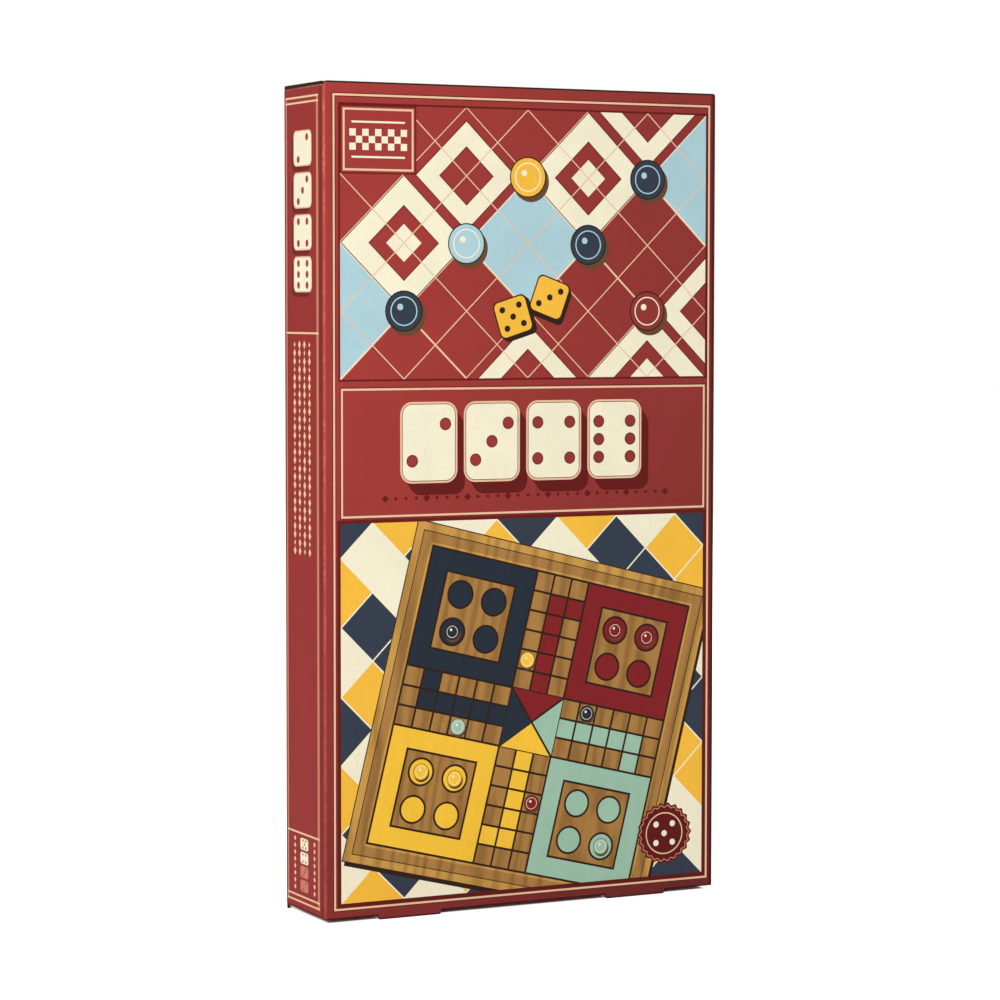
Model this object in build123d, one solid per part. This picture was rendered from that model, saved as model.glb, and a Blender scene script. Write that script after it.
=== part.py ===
from build123d import *

import os
from math import cos, radians, sin

# A folding wooden ludo set stored upright in its printed carton, in millimetres.
# +Z is up, the carton's front faces -Y and its spine faces -X. The origin lies on the
# surface that the carton stands on, under the middle of the carton.

# Wooden case: two trays hinged on their long side, with the playing surface outside
case_length = 285.0
case_width = case_length / 2  # the opened board is square
half_depth = 14.0
rail_width = 6.5
rebate_width = 3.5
rebate_depth = 3.0
panel_thickness = 2.6
panel_play = 0.2
moulding_round = 1.6
divider_thickness = 4.0

# Carton board and the spaces that the carton leaves round the case
board = 1.2
fold_radius = 1.0
crease_radius = 0.7
layer_play = 0.1
crease_play = 0.2
case_play = 0.3
side_gap = 7.55
front_gap = 4.0
back_gap = 1.6
headroom = 8.3

# Flaps
lid_side_inset = 0.4
tongue_play = 0.3
tuck_length = 10.5
tuck_tilt = 12.0
tuck_side_inset = 2.0
tuck_corner = 6.0
top_dust_length = 30.0
bottom_dust_length = 28.0
dust_front_inset = 2.5
dust_crease_inset = 0.6
steep_taper = 0.575
slight_taper = 0.3
flap_corner = 3.0
inner_flap_length = 21.0
outer_flap_setback = 8.8
flap_side_play = 0.4
glue_lap_width = 14.0
glue_lap_inset = 12.0

# Tongue lock of the bottom
lock_width = 24.0
lock_spacing = 93.0
lock_length = 7.0
lock_tilt = 8.0
slot_depth = 3.4
slot_play = 0.5
lip_corner = 0.8
front_top_corner = 1.3

# Brass butt hinges
hinge_height = 25.0
hinge_inset = 42.0
leaf_width = 9.0
leaf_thickness = 1.0
leaf_play = 0.1
knuckle_radius = 2.0
knuckle_play = 0.2
hinge_pin_radius = 0.8
pin_play = 0.05
hinge_pin_head = 0.6

# Brass hook clasps
clasp_inset = 75.0
clasp_reach = 14.0
hook_thickness = 1.0
hook_standoff = 0.4
hook_arm = 3.2
eye_radius = 3.2
clasp_pin_radius = 1.2
clasp_pin_play = 0.1
clasp_head_radius = 2.5
clasp_head_height = 1.0
clasp_head_chamfer = 0.4
clasp_head_play = 0.2
clasp_pin_sink = 4.0
notch_play = 0.5
hook_lift_tab = 5.0

# Playing pieces and rules leaflet
pawn_height = 25.0
pawn_base_radius = 6.2
pawn_foot_height = 2.2
pawn_waist_radius = 2.5
pawn_hollow_share = 0.5
pawn_flare = 1.0
pawn_collar_radius = 3.8
pawn_collar_height = 16.5
pawn_collar_thickness = 1.2
pawn_head_radius = 4.4
pawn_headroom = 8.0
pawns_per_colour = 4
colours = ("red", "yellow", "blue", "green")
colours_per_shelf = 2
die_size = 14.0
die_corner = 2.0
pip_radius = 1.3
pip_depth = 0.7
pip_pitch = 3.6
leaflet_width = 95.0
leaflet_height = 140.0
leaflet_sheet = 0.25
leaflet_thickness = 0.8

# Levels, from the standing surface upwards
outer_flap_z = layer_play
front_edge_z = outer_flap_z + board + layer_play
side_edge_z = front_edge_z + board + layer_play
case_bottom = side_edge_z + board + case_play
case_top = case_bottom + case_length
dust_z = case_top + headroom
side_top_z = dust_z + board
lid_z = side_top_z + layer_play
carton_height = lid_z + board

# Places across the carton
carton_width = case_width + 2 * (side_gap + board)
carton_depth = 2 * half_depth + front_gap + back_gap + 2 * board
half_width = carton_width / 2
inner_x = half_width - board
front_y = -carton_depth / 2
front_in = front_y + board
back_in = carton_depth / 2 - board
tongue_y = front_in + tongue_play
case_front = front_in + front_gap
case_mid = case_front + half_depth
case_back = case_mid + half_depth
case_side = case_width / 2
shelf_side = case_side - rail_width
interior_front = case_front + rebate_depth
interior_back = case_back - rebate_depth

# Shelves inside the case
first_shelf = case_bottom + rail_width
shelf_pitch = pawn_height + pawn_headroom + divider_thickness
second_shelf = first_shelf + shelf_pitch
third_shelf = second_shelf + shelf_pitch


def block(x, y, z):
    """Returns a box between the low and high value of each of its three ranges."""
    size = Box(x[1] - x[0], y[1] - y[0], z[1] - z[0], align=(Align.MIN, Align.MIN, Align.MIN))
    return Pos(x[0], y[0], z[0]) * size


def plate(points, z, rounded=(), radius=0.0):
    """Returns a plate with an outline in plan, rounded at the corners whose places are listed."""
    face = make_face(Polyline(*points, close=True))
    if rounded:
        corners = [face.vertices().sort_by_distance((*points[p], 0))[0] for p in rounded]
        face = fillet(corners, radius)
    return Pos(0, 0, z) * extrude(face, amount=board)


def side_prism(points, x):
    """Returns a prism along X between two places, from an outline given as (y, z) points."""
    outline = Polyline(*[(x[0], y, z) for y, z in points], close=True)
    return extrude(make_face(outline), amount=x[1] - x[0], dir=(1, 0, 0))


def mirrored(shape, side):
    """Returns the shape itself on the spine side, and its mirror image on the other side."""
    return shape if side < 0 else mirror(shape, about=Plane.YZ)


def turned(*lines):
    """Returns the solid turned from a profile, given as lines and arcs in (radius, height)."""
    edges = [edge for line in lines for edge in line.edges()]
    return revolve(Plane.XZ * make_face(edges), axis=Axis.Z)


def slots():
    """Returns the middles of the two slots of the bottom lock."""
    return (-lock_spacing / 2, lock_spacing / 2)


def wall_ring():
    """Returns the four upright walls of the carton as one ring with rounded folds."""
    outer = RectangleRounded(carton_width, carton_depth, fold_radius)
    inner = Rectangle(carton_width - 2 * board, carton_depth - 2 * board)
    return extrude(outer - inner, amount=carton_height)


def wall(corners):
    """Returns the part of the ring inside a plan outline, so that walls meet at mitred folds."""
    region = extrude(make_face(Polyline(*corners, close=True)), amount=carton_height)
    return wall_ring() & region


def round_crease(shape, axis, level, outside):
    """Rounds the outer edge of a wall where its end turns into a flap."""
    edges = shape.edges().filter_by(axis)
    edge = edges.sort_by(lambda e: abs(e.center().Z - level) + (e.center() - Vector(*outside)).length)[0]
    return fillet(edge, crease_radius)


def front_panel():
    """Front wall, whose die-cut outline has rounded top corners and the two lips of the bottom lock."""
    m = carton_depth / 3
    corners = [(-half_width, front_y), (half_width, front_y),
               (half_width - m, front_y + m), (m - half_width, front_y + m)]
    outline = block((-half_width, half_width), (front_y, front_in), (front_edge_z, carton_height))
    outline = fillet(outline.edges().filter_by(Axis.Y).group_by(Axis.Z)[-1], front_top_corner)
    for x in slots():
        lip = block((x - lock_width / 2 - slot_play, x + lock_width / 2 + slot_play),
                    (front_y, front_in), (0, front_edge_z))
        outline += fillet(lip.edges().filter_by(Axis.Y).group_by(Axis.Z)[0], lip_corner)
    return wall(corners) & outline


def back_panel():
    """Back wall, which carries the lid above and the outer bottom flap below."""
    m = carton_depth / 3
    corners = [(-half_width, -front_y), (half_width, -front_y),
               (half_width - m, -front_y - m), (m - half_width, -front_y - m)]
    panel = wall(corners)
    panel = round_crease(panel, Axis.X, carton_height, (0, -front_y, carton_height))
    return round_crease(panel, Axis.X, 0, (0, -front_y, 0))


def side_panel(side):
    """Side wall, cut short above and below for the layers of the flaps that cross it."""
    m = carton_depth / 3
    corners = [(-half_width, front_y), (-half_width + m, front_y + m),
               (-half_width + m, -front_y - m), (-half_width, -front_y)]
    panel = wall(corners)
    for z in ((0, side_edge_z), (side_top_z, carton_height)):
        panel -= block((-half_width, -inner_x), (front_y, -front_y), z)
    for level in (side_top_z, side_edge_z):
        panel = round_crease(panel, Axis.Y, level, (-half_width, 0, level))
    return mirrored(panel, side)


def glue_lap():
    """Strip that joins the blank into a tube, glued to the inside of the right wall."""
    low, high = side_edge_z + glue_lap_inset, side_top_z - glue_lap_inset
    near, far = back_in - glue_lap_width, back_in
    bevel = glue_lap_width / 4
    outline = [(far, low), (far, high), (near, high - bevel), (near, low + bevel)]
    return side_prism(outline, (inner_x - board, inner_x))


def tongue(level, length, tilt, x, up):
    """Upright strip at the free end of a flap, leaning back so that it swings out past the wall."""
    lean = length * sin(radians(tilt))
    reach = up * length * cos(radians(tilt))
    wide = board / cos(radians(tilt))
    outline = [(tongue_y, level), (tongue_y + lean, level + reach),
               (tongue_y + lean + wide, level + reach), (tongue_y + wide, level)]
    return side_prism(outline, x)


def lid():
    """Top flap with its tuck tongue, hinged to the back wall."""
    reach = half_width - lid_side_inset
    top = block((-reach, reach), (tongue_y, back_in - crease_play), (lid_z, carton_height))
    nose = top.edges().filter_by(Axis.X).sort_by(lambda e: e.center().Y - e.center().Z)[0]
    top = fillet(nose, board * 0.8)
    tuck_x = inner_x - tuck_side_inset
    tuck = tongue(lid_z, tuck_length, tuck_tilt, (-tuck_x, tuck_x), -1)
    drop = tuck_length * cos(radians(tuck_tilt))
    shield = Rectangle(2 * tuck_x, drop, align=(Align.CENTER, Align.MAX))
    shield = fillet(shield.vertices().group_by(Axis.Y)[0], tuck_corner)
    shield = Plane((0, 0, lid_z), x_dir=(1, 0, 0), z_dir=(0, -1, 0)) * shield
    return top + (tuck & extrude(shield, amount=carton_depth, both=True))


def dust_flap_outline(length, front, front_taper, back_taper):
    """Plan outline of a dust flap on the spine side, whose edges draw in towards its free end."""
    root = -inner_x + crease_play
    tip = -inner_x + length
    back = back_in - dust_crease_inset
    return [(root, front), (tip, front + front_taper * length),
            (tip, back - back_taper * length), (root, back)]


def top_dust_flap(side):
    """Flap under the lid. Its edge beside the lid's crease draws in, to rise with the lid."""
    outline = dust_flap_outline(top_dust_length, front_in + dust_front_inset, 0.0, steep_taper)
    return mirrored(plate(outline, dust_z, (1, 2), flap_corner), side)


def bottom_dust_flap(side):
    """Innermost flap of the bottom, which the case stands on."""
    front = front_in + dust_crease_inset
    outline = dust_flap_outline(bottom_dust_length, front, steep_taper, slight_taper)
    return mirrored(plate(outline, side_edge_z, (1, 2), flap_corner), side)


def inner_flap():
    """Bottom flap hinged to the front wall, with the slots that take the lock's tongues."""
    reach = inner_x - flap_side_play
    low, high = front_in + crease_play, front_in + inner_flap_length
    taper = inner_flap_length * slight_taper
    outline = [(-reach, low), (reach, low), (reach - taper, high), (taper - reach, high)]
    flap = plate(outline, front_edge_z, (2, 3), flap_corner)
    for x in slots():
        flap -= block((x - lock_width / 2 - slot_play, x + lock_width / 2 + slot_play),
                      (front_in, front_in + slot_depth), (front_edge_z, front_edge_z + board))
    return flap


def outer_flap():
    """Bottom flap hinged to the back wall, with two tongues that lock behind the front's lips."""
    reach = inner_x - flap_side_play
    low, high = front_in + outer_flap_setback, back_in - crease_play
    taper = (high - low) * slight_taper
    outline = [(taper - reach, low), (reach - taper, low), (reach, high), (-reach, high)]
    flap = plate(outline, outer_flap_z, (0, 1), flap_corner)
    for x in slots():
        span = (x - lock_width / 2, x + lock_width / 2)
        flap += block(span, (tongue_y, low), (outer_flap_z, outer_flap_z + board))
        flap += tongue(outer_flap_z + board, lock_length, lock_tilt, span, 1)
    return flap


def leaflet():
    """Rules leaflet, one sheet folded down its middle and slipped in behind the case."""
    foot = outer_flap_z + board + case_play
    middle = (case_back + back_in) / 2
    near, far = middle - leaflet_thickness / 2, middle + leaflet_thickness / 2
    half = leaflet_width / 2
    folded = Rectangle(leaflet_width, leaflet_thickness)
    folded -= Pos(leaflet_sheet, 0) * Rectangle(leaflet_width, leaflet_thickness - 2 * leaflet_sheet)
    spine = [v for v in folded.vertices() if v.X < -half + 0.01]
    folded = fillet(spine, leaflet_thickness * 0.45)
    return Pos(0, (near + far) / 2, foot) * extrude(folded, amount=leaflet_height)


def half_place(front):
    """Returns the range of Y that one half of the case fills."""
    return (case_front, case_mid) if front else (case_mid, case_back)


def outer_strip(front, thick):
    """Returns the range of Y that a layer of the given thickness fills under the outer face."""
    return (case_front, case_front + thick) if front else (case_back - thick, case_back)


def below_panel(front):
    """Returns the range of Y between the panel's seat and the rim."""
    return (interior_front, case_mid) if front else (case_mid, interior_back)


def round_moulding(rail, axis, front, corner):
    """Rounds the outer edge of a rail that runs round the playing surface."""
    face_y = case_front if front else case_back
    target = Vector(corner[0], face_y, corner[1])
    edge = rail.edges().filter_by(axis).sort_by(lambda e: (e.center() - target).length)[0]
    return fillet(edge, moulding_round)


def end_rail(front, top):
    """Short rail across one end of a half, rebated for the panel."""
    z = (case_top - rail_width, case_top) if top else (case_bottom, case_bottom + rail_width)
    seat_z = (z[0], z[0] + rebate_width) if top else (z[1] - rebate_width, z[1])
    rail = block((-case_side, case_side), half_place(front), z)
    seat_x = (-case_side + rail_width - rebate_width, case_side)
    rail -= block(seat_x, outer_strip(front, rebate_depth), seat_z)
    return round_moulding(rail, Axis.X, front, (0, case_top if top else case_bottom))


def clasp_rail(front):
    """Long rail on the spine side, rebated for the panel and drilled for the clasps."""
    x = (-case_side, -shelf_side)
    z = (case_bottom + rail_width, case_top - rail_width)
    rail = block(x, half_place(front), z)
    rail -= block((x[1] - rebate_width, x[1]), outer_strip(front, rebate_depth), z)
    rail = round_moulding(rail, Axis.Z, front, (-case_side, (case_bottom + case_top) / 2))
    for height in clasp_heights():
        hole = Cylinder(clasp_pin_radius, clasp_pin_sink, rotation=(0, 90, 0))
        rail -= Pos(-case_side + clasp_pin_sink / 2, clasp_pin_y(front), height) * hole
    return rail


def hinge_rail(front):
    """Long rail under the panel's edge, let in for the hinge leaves and their knuckles."""
    z = (case_bottom + rail_width, case_top - rail_width)
    rail = block((shelf_side, case_side), below_panel(front), z)
    toward = -1 if front else 1
    for height in hinge_heights():
        half = hinge_height / 2 + leaf_play
        spread = sorted((case_mid, case_mid + toward * (leaf_width + leaf_play)))
        rail -= block((case_side - leaf_thickness, case_side), spread, (height - half, height + half))
        groove = Cylinder(knuckle_radius + knuckle_play, 2 * (half + hinge_pin_head))
        rail -= Pos(case_side, case_mid, height) * groove
    return rail


def playing_panel(front):
    """Printed panel of one half. It lies in the rebates and covers the rail at the hinges."""
    lip = rail_width - rebate_width + panel_play
    x = (-case_side + lip, case_side)
    z = (case_bottom + lip, case_top - lip)
    seat = interior_front if front else interior_back
    y = sorted((seat, seat + (-panel_thickness if front else panel_thickness)))
    return block(x, y, z)


def divider(front, level):
    """Slat between the long rails. The slats of the two halves meet and make a shelf."""
    return block((-shelf_side, shelf_side), below_panel(front), (level - divider_thickness, level))


def hinge_heights():
    """Returns the middles of the two hinges."""
    return (case_bottom + hinge_inset, case_top - hinge_inset)


def knuckle(low, high):
    """Returns a stretch of the hinge's barrel, bored for its pin."""
    tube = Cylinder(knuckle_radius, high - low) - Cylinder(hinge_pin_radius + pin_play, high - low)
    return Pos(case_side, case_mid, (low + high) / 2) * tube


def hinge_leaf(front, height):
    """Leaf with two outer knuckles on the front half, or with the middle one on the back half."""
    toward = -1 if front else 1
    third = hinge_height / 3
    low = height - hinge_height / 2
    spread = sorted((case_mid, case_mid + toward * leaf_width))
    leaf = block((case_side - leaf_thickness, case_side), spread, (low, low + hinge_height))
    bore = Cylinder(knuckle_radius + leaf_play, hinge_height)
    leaf -= Pos(case_side, case_mid, height) * bore
    root = sorted((case_mid + toward * knuckle_radius * 0.8,
                   case_mid + toward * (knuckle_radius + 2 * leaf_play)))
    for place in ((0, 2) if front else (1,)):
        start, end = low + place * third + leaf_play / 2, low + (place + 1) * third - leaf_play / 2
        leaf += knuckle(start, end)
        leaf += block((case_side - leaf_thickness, case_side), root, (start, end))
    return leaf


def hinge_pin(height):
    """Pin through the three knuckles, with a small head above and below."""
    shaft = Cylinder(hinge_pin_radius, hinge_height + 2 * leaf_play)
    reach = hinge_height / 2 + leaf_play / 2
    for end in (-1, 1):
        head = Cylinder(knuckle_radius * 0.8, hinge_pin_head)
        shaft += Pos(0, 0, end * (reach + hinge_pin_head / 2)) * head
    return Pos(case_side, case_mid, height) * shaft


def clasp_heights():
    """Returns the heights of the two hook clasps."""
    return (case_bottom + clasp_inset, case_top - clasp_inset)


def clasp_pin_y(front):
    """Returns where the hook's pivot is, on the front half, or its catch, on the back half."""
    return case_mid + (-clasp_reach / 2 if front else clasp_reach / 2)


def clasp_pin(front, height):
    """Headed pin driven into a rail. It carries the hook, or catches it."""
    seat = hook_standoff + hook_thickness + clasp_head_play
    top = seat + clasp_head_height
    pin = turned(Polyline(
        (0, -clasp_pin_sink), (clasp_pin_radius, -clasp_pin_sink), (clasp_pin_radius, seat),
        (clasp_head_radius, seat), (clasp_head_radius, top - clasp_head_chamfer),
        (clasp_head_radius - clasp_head_chamfer, top), (0, top), close=True))
    return Pos(-case_side, clasp_pin_y(front), height) * Rot(0, -90, 0) * pin


def hook(height):
    """Flat hook with an eye round its pivot and a notch that drops over the catch pin."""
    bore = clasp_pin_radius + clasp_pin_play
    end = clasp_reach + bore + notch_play + hook_arm / 2
    arm = Pos(end / 2, hook_arm / 2) * Rectangle(end, hook_arm)
    nose = Pos(clasp_reach, 0) * Rectangle(2 * (bore + notch_play) + hook_arm, 2 * eye_radius)
    nose = fillet(nose.vertices(), hook_arm / 2)
    tab = Pos(end, hook_arm / 2) * Rectangle(hook_lift_tab, hook_arm)
    tab = fillet(tab.vertices(), hook_arm / 3)
    outline = Circle(eye_radius) + arm + nose + tab - Circle(bore)
    notch = Pos(clasp_reach, -eye_radius) * Rectangle(2 * (bore + notch_play), 2 * eye_radius)
    notch += Pos(clasp_reach, 0) * Circle(bore)
    outline -= notch
    flat = extrude(outline, amount=hook_thickness)
    outer_x = -case_side - hook_standoff - hook_thickness
    return Plane((outer_x, clasp_pin_y(True), height), x_dir=(0, 1, 0), z_dir=(1, 0, 0)) * flat


def pawn():
    """Turned pawn: a foot, a stem that draws in with a hollow curve, a collar and a ball head."""
    head_z = pawn_height - pawn_head_radius
    neck_z = pawn_collar_height + pawn_collar_thickness
    neck = (pawn_head_radius ** 2 - (head_z - neck_z) ** 2) ** 0.5
    hollow = (pawn_waist_radius + pawn_flare, pawn_collar_height * pawn_hollow_share)
    waist = (pawn_waist_radius, pawn_collar_height)
    return turned(
        Polyline((0, 0), (pawn_base_radius, 0), (pawn_base_radius, pawn_foot_height)),
        ThreePointArc((pawn_base_radius, pawn_foot_height), hollow, waist),
        Polyline(waist, (pawn_collar_radius, pawn_collar_height), (neck, neck_z)),
        ThreePointArc((neck, neck_z), (pawn_head_radius, head_z), (0, pawn_height)),
        Line((0, pawn_height), (0, 0)),
    )


def pawn_places():
    """Returns each pawn's name and place, two colours to a shelf."""
    per_shelf = colours_per_shelf * pawns_per_colour
    pitch = 2 * shelf_side / per_shelf
    places = {}
    for index, colour in enumerate(colours):
        level = (first_shelf, second_shelf)[index // colours_per_shelf]
        for number in range(pawns_per_colour):
            column = (index % colours_per_shelf) * pawns_per_colour + number
            x = -shelf_side + (column + 0.5) * pitch
            places[f"pawn_{colour}_{number + 1}"] = Pos(x, case_mid, level)
    return places


def pips(count):
    """Returns the places of a face's pips, as steps from the face's middle."""
    corner = [(-1, -1), (1, 1)]
    other = [(-1, 1), (1, -1)]
    sides = [(-1, 0), (1, 0)]
    centre = [(0, 0)]
    return {1: centre, 2: corner, 3: corner + centre, 4: corner + other,
            5: corner + other + centre, 6: corner + other + sides}[count]


def die():
    """Wooden die with rounded corners and drilled pips, opposite faces adding up to seven."""
    cube = Box(die_size, die_size, die_size)
    cube &= Sphere(die_size * 0.5 * 3 ** 0.5 - die_corner)
    faces = {1: Plane.XY, 6: Plane.XY.rotated((180, 0, 0)), 2: Plane.XZ, 5: Plane.XZ.rotated((180, 0, 0)),
             3: Plane.YZ, 4: Plane.YZ.rotated((0, 180, 0))}
    drill = Cone(0, 2 * pip_radius, 2 * pip_depth)  # its point lies one pip's depth under the face
    for count, plane in faces.items():
        for x, y in pips(count):
            cube -= plane.offset(die_size / 2) * Pos(x * pip_pitch, y * pip_pitch) * drill
    return Pos(0, case_mid, third_shelf + die_size / 2) * cube


def carton_parts():
    """Returns the carton's panels, flaps and leaflet by name."""
    return {
        "front_panel": front_panel(), "back_panel": back_panel(),
        "spine_panel": side_panel(-1), "right_panel": side_panel(1), "glue_lap": glue_lap(),
        "lid": lid(), "top_dust_flap_spine": top_dust_flap(-1), "top_dust_flap_right": top_dust_flap(1),
        "bottom_outer_flap": outer_flap(), "bottom_inner_flap": inner_flap(),
        "bottom_dust_flap_spine": bottom_dust_flap(-1), "bottom_dust_flap_right": bottom_dust_flap(1),
        "rules_leaflet": leaflet(),
    }


def case_parts():
    """Returns the rails, panels and shelves of both halves of the case by name."""
    parts = {}
    for half, front in (("front", True), ("back", False)):
        parts[f"{half}_playing_panel"] = playing_panel(front)
        parts[f"{half}_clasp_rail"] = clasp_rail(front)
        parts[f"{half}_hinge_rail"] = hinge_rail(front)
        parts[f"{half}_top_rail"] = end_rail(front, True)
        parts[f"{half}_bottom_rail"] = end_rail(front, False)
        parts[f"{half}_lower_divider"] = divider(front, second_shelf)
        parts[f"{half}_upper_divider"] = divider(front, third_shelf)
    return parts


def hardware_parts():
    """Returns the hinges and hook clasps by name."""
    parts = {}
    for name, height in zip(("lower", "upper"), hinge_heights()):
        parts[f"{name}_hinge_front_leaf"] = hinge_leaf(True, height)
        parts[f"{name}_hinge_back_leaf"] = hinge_leaf(False, height)
        parts[f"{name}_hinge_pin"] = hinge_pin(height)
    for name, height in zip(("lower", "upper"), clasp_heights()):
        parts[f"{name}_hook"] = hook(height)
        parts[f"{name}_hook_pivot"] = clasp_pin(True, height)
        parts[f"{name}_catch_pin"] = clasp_pin(False, height)
    return parts


def playing_parts():
    """Returns the pawns and the die by name."""
    piece = pawn()
    parts = {name: place * piece for name, place in pawn_places().items()}
    parts["die"] = die()
    return parts


os.makedirs("parts", exist_ok=True)
for group in (carton_parts(), case_parts(), hardware_parts(), playing_parts()):
    for name, shape in group.items():
        export_step(shape, f"parts/{name}.step")
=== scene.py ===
import logging
import math
from collections.abc import Callable, Iterable, Sequence
from dataclasses import dataclass, field
from enum import Enum

import bmesh
import bpy
from mathutils import Matrix, Vector
from mathutils.geometry import delaunay_2d_cdt


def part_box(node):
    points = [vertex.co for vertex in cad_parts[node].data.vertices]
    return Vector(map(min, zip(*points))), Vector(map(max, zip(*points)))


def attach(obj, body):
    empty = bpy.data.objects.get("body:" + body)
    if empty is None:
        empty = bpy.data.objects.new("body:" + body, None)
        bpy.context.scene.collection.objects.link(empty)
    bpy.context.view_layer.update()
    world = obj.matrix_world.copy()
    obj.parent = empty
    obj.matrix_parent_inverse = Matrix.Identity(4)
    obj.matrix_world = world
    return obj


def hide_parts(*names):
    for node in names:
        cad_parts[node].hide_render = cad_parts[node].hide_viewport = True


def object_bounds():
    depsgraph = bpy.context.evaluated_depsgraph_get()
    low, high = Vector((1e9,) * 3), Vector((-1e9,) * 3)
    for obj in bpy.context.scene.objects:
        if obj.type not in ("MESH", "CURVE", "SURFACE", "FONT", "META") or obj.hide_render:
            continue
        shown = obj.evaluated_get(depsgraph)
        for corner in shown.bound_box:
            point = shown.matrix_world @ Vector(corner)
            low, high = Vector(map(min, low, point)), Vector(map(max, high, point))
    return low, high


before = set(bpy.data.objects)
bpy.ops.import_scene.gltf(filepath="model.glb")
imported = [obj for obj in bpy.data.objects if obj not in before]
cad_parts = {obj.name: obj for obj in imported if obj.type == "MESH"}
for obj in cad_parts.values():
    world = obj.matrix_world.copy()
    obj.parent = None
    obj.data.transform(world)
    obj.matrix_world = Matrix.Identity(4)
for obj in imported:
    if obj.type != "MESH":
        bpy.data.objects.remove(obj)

log = logging.getLogger("ludo_set")
CAD_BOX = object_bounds()
MM = 0.001

Point = tuple[float, float]
Triple = tuple[float, float, float]
Outline = list[Point]
Material = bpy.types.Material
Node = bpy.types.Node
Piece = bpy.types.Object
Socket = bpy.types.NodeSocket


def linear(code: str) -> Triple:
    """Turns a colour code into linear light, by the sRGB curve.

    Args:
        code: six hexadecimal digits after a hash sign.

    Returns:
        Red, green and blue from 0 to 1.
    """
    shares = [int(code[place:place + 2], 16) / 255 for place in (1, 3, 5)]
    return tuple(s / 12.92 if s <= 0.04045 else ((s + 0.055) / 1.055) ** 2.4 for s in shares)


def opaque(code: str) -> tuple[float, float, float, float]:
    """Turns a colour code into linear light with full cover."""
    return (*linear(code), 1.0)


class Ink(Enum):
    """Colours of the print, with their shares of printed wood grain and of the painted shade on the ground.
    """

    # the third value is the share of painted shade, darker towards the front's lower right, that the ink
    # takes
    CRIMSON = ("#a53e3a", 0.0, 1.0)
    # painted shade: the crimson ground darkened for the spine
    SHADED_SPINE_RED = ("#95302d", 0.0, 0.0)
    # darker red for the painted shade along the front's right fold
    SHADED_MARGIN_RED = ("#7d2c2a", 0.0, 0.6)
    FOLD_RED = ("#792523", 0.0, 0.0)
    DEEP_RED = ("#6a211f", 0.0, 0.3)
    # dark line along the lower edges and creases, and painted shade on the front's right fold
    EDGE_RED = ("#4a191b", 0.0, 0.0)
    BOARD_RED = ("#86272a", 0.05, 0.0)
    CREAM = ("#f8f0d3", 0.0, 0.0)
    WARM_LINE = ("#efc6a2", 0.0, 0.0)
    SALMON = ("#cc8168", 0.0, 0.0)
    PALE_BLUE = ("#b0d2da", 0.0, 0.0)
    NAVY = ("#38404e", 0.0, 0.0)
    BOARD_NAVY = ("#2a323d", 0.05, 0.0)
    YELLOW = ("#fac043", 0.0, 0.0)
    BOARD_YELLOW = ("#fbc740", 0.05, 0.0)
    TEAL = ("#a0c5ae", 0.06, 0.0)
    WALNUT = ("#a47b46", 0.85, 0.0)
    OAK = ("#c1954f", 0.85, 0.0)
    DARK_LINE = ("#33231c", 0.1, 0.0)
    SHADE = ("#6b4a35", 0.0, 0.0)

    @property
    def rgba(self) -> tuple[float, float, float, float]:
        """Linear colour, with the share of printed wood as its fourth value."""
        return (*linear(self.value[0]), self.value[1])

    @property
    def shading(self) -> float:
        """How much of the painted shade on the ground, darker towards the lower right, falls on this ink."""
        return self.value[2]


Layers = tuple[tuple[float, Ink], ...]


class Yard(Enum):
    """The four players' colours, as printed and as painted on the pawns."""

    RED = (Ink.BOARD_RED, "#8e1f1d")
    YELLOW = (Ink.BOARD_YELLOW, "#e9a81f")
    BLUE = (Ink.BOARD_NAVY, "#27364f")
    GREEN = (Ink.TEAL, "#6fa995")

    @property
    def ink(self) -> Ink:
        """Ink of this player's squares."""
        return self.value[0]

    @property
    def paint(self) -> str:
        """Colour code of this player's pawns."""
        return self.value[1]


@dataclass(frozen=True)
class Window:
    """Upright rectangle of the print, in millimetres."""

    left: float
    bottom: float
    right: float
    top: float

    @property
    def corners(self) -> Outline:
        """The four corners, counter-clockwise."""
        return [(self.left, self.bottom), (self.right, self.bottom),
                (self.right, self.top), (self.left, self.top)]

    @property
    def middle(self) -> Point:
        """Centre of the rectangle."""
        return ((self.left + self.right) / 2, (self.bottom + self.top) / 2)

    def grown(self, by: float) -> "Window":
        """The rectangle with every side moved out by a distance."""
        return Window(self.left - by, self.bottom - by, self.right + by, self.top + by)


def clipped(outline: Outline, window: Window) -> Outline:
    """Cuts an outline down to a window.

    Args:
        outline: corners of the shape, in order.
        window: the rectangle that is kept.

    Returns:
        The corners of what lies inside, which may be none.
    """
    sides = [(0, window.left, 1), (0, window.right, -1), (1, window.bottom, 1), (1, window.top, -1)]
    for axis, limit, sign in sides:
        kept: Outline = []
        for here, after in zip(outline, outline[1:] + outline[:1]):
            a, b = sign * (here[axis] - limit), sign * (after[axis] - limit)
            if a >= 0:
                kept.append(here)
            if a * b < 0:
                share = a / (a - b)
                kept.append((here[0] + share * (after[0] - here[0]), here[1] + share * (after[1] - here[1])))
        outline = kept
        if not outline:
            break
    return outline


def arc(centre: Point, radius: float, start: float, end: float, count: int) -> Outline:
    """Points on an arc.

    Args:
        centre: middle of the circle.
        radius: its radius.
        start: angle of the first point in degrees.
        end: angle of the last point in degrees.
        count: number of points.

    Returns:
        The points in order.
    """
    angles = [math.radians(start + (end - start) * k / (count - 1)) for k in range(count)]
    return [(centre[0] + radius * math.cos(a), centre[1] + radius * math.sin(a)) for a in angles]


def area(outline: Outline) -> float:
    """Area inside an outline, without its sign."""
    return abs(sum(a[0] * b[1] - b[0] * a[1] for a, b in zip(outline, outline[1:] + outline[:1]))) / 2


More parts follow.
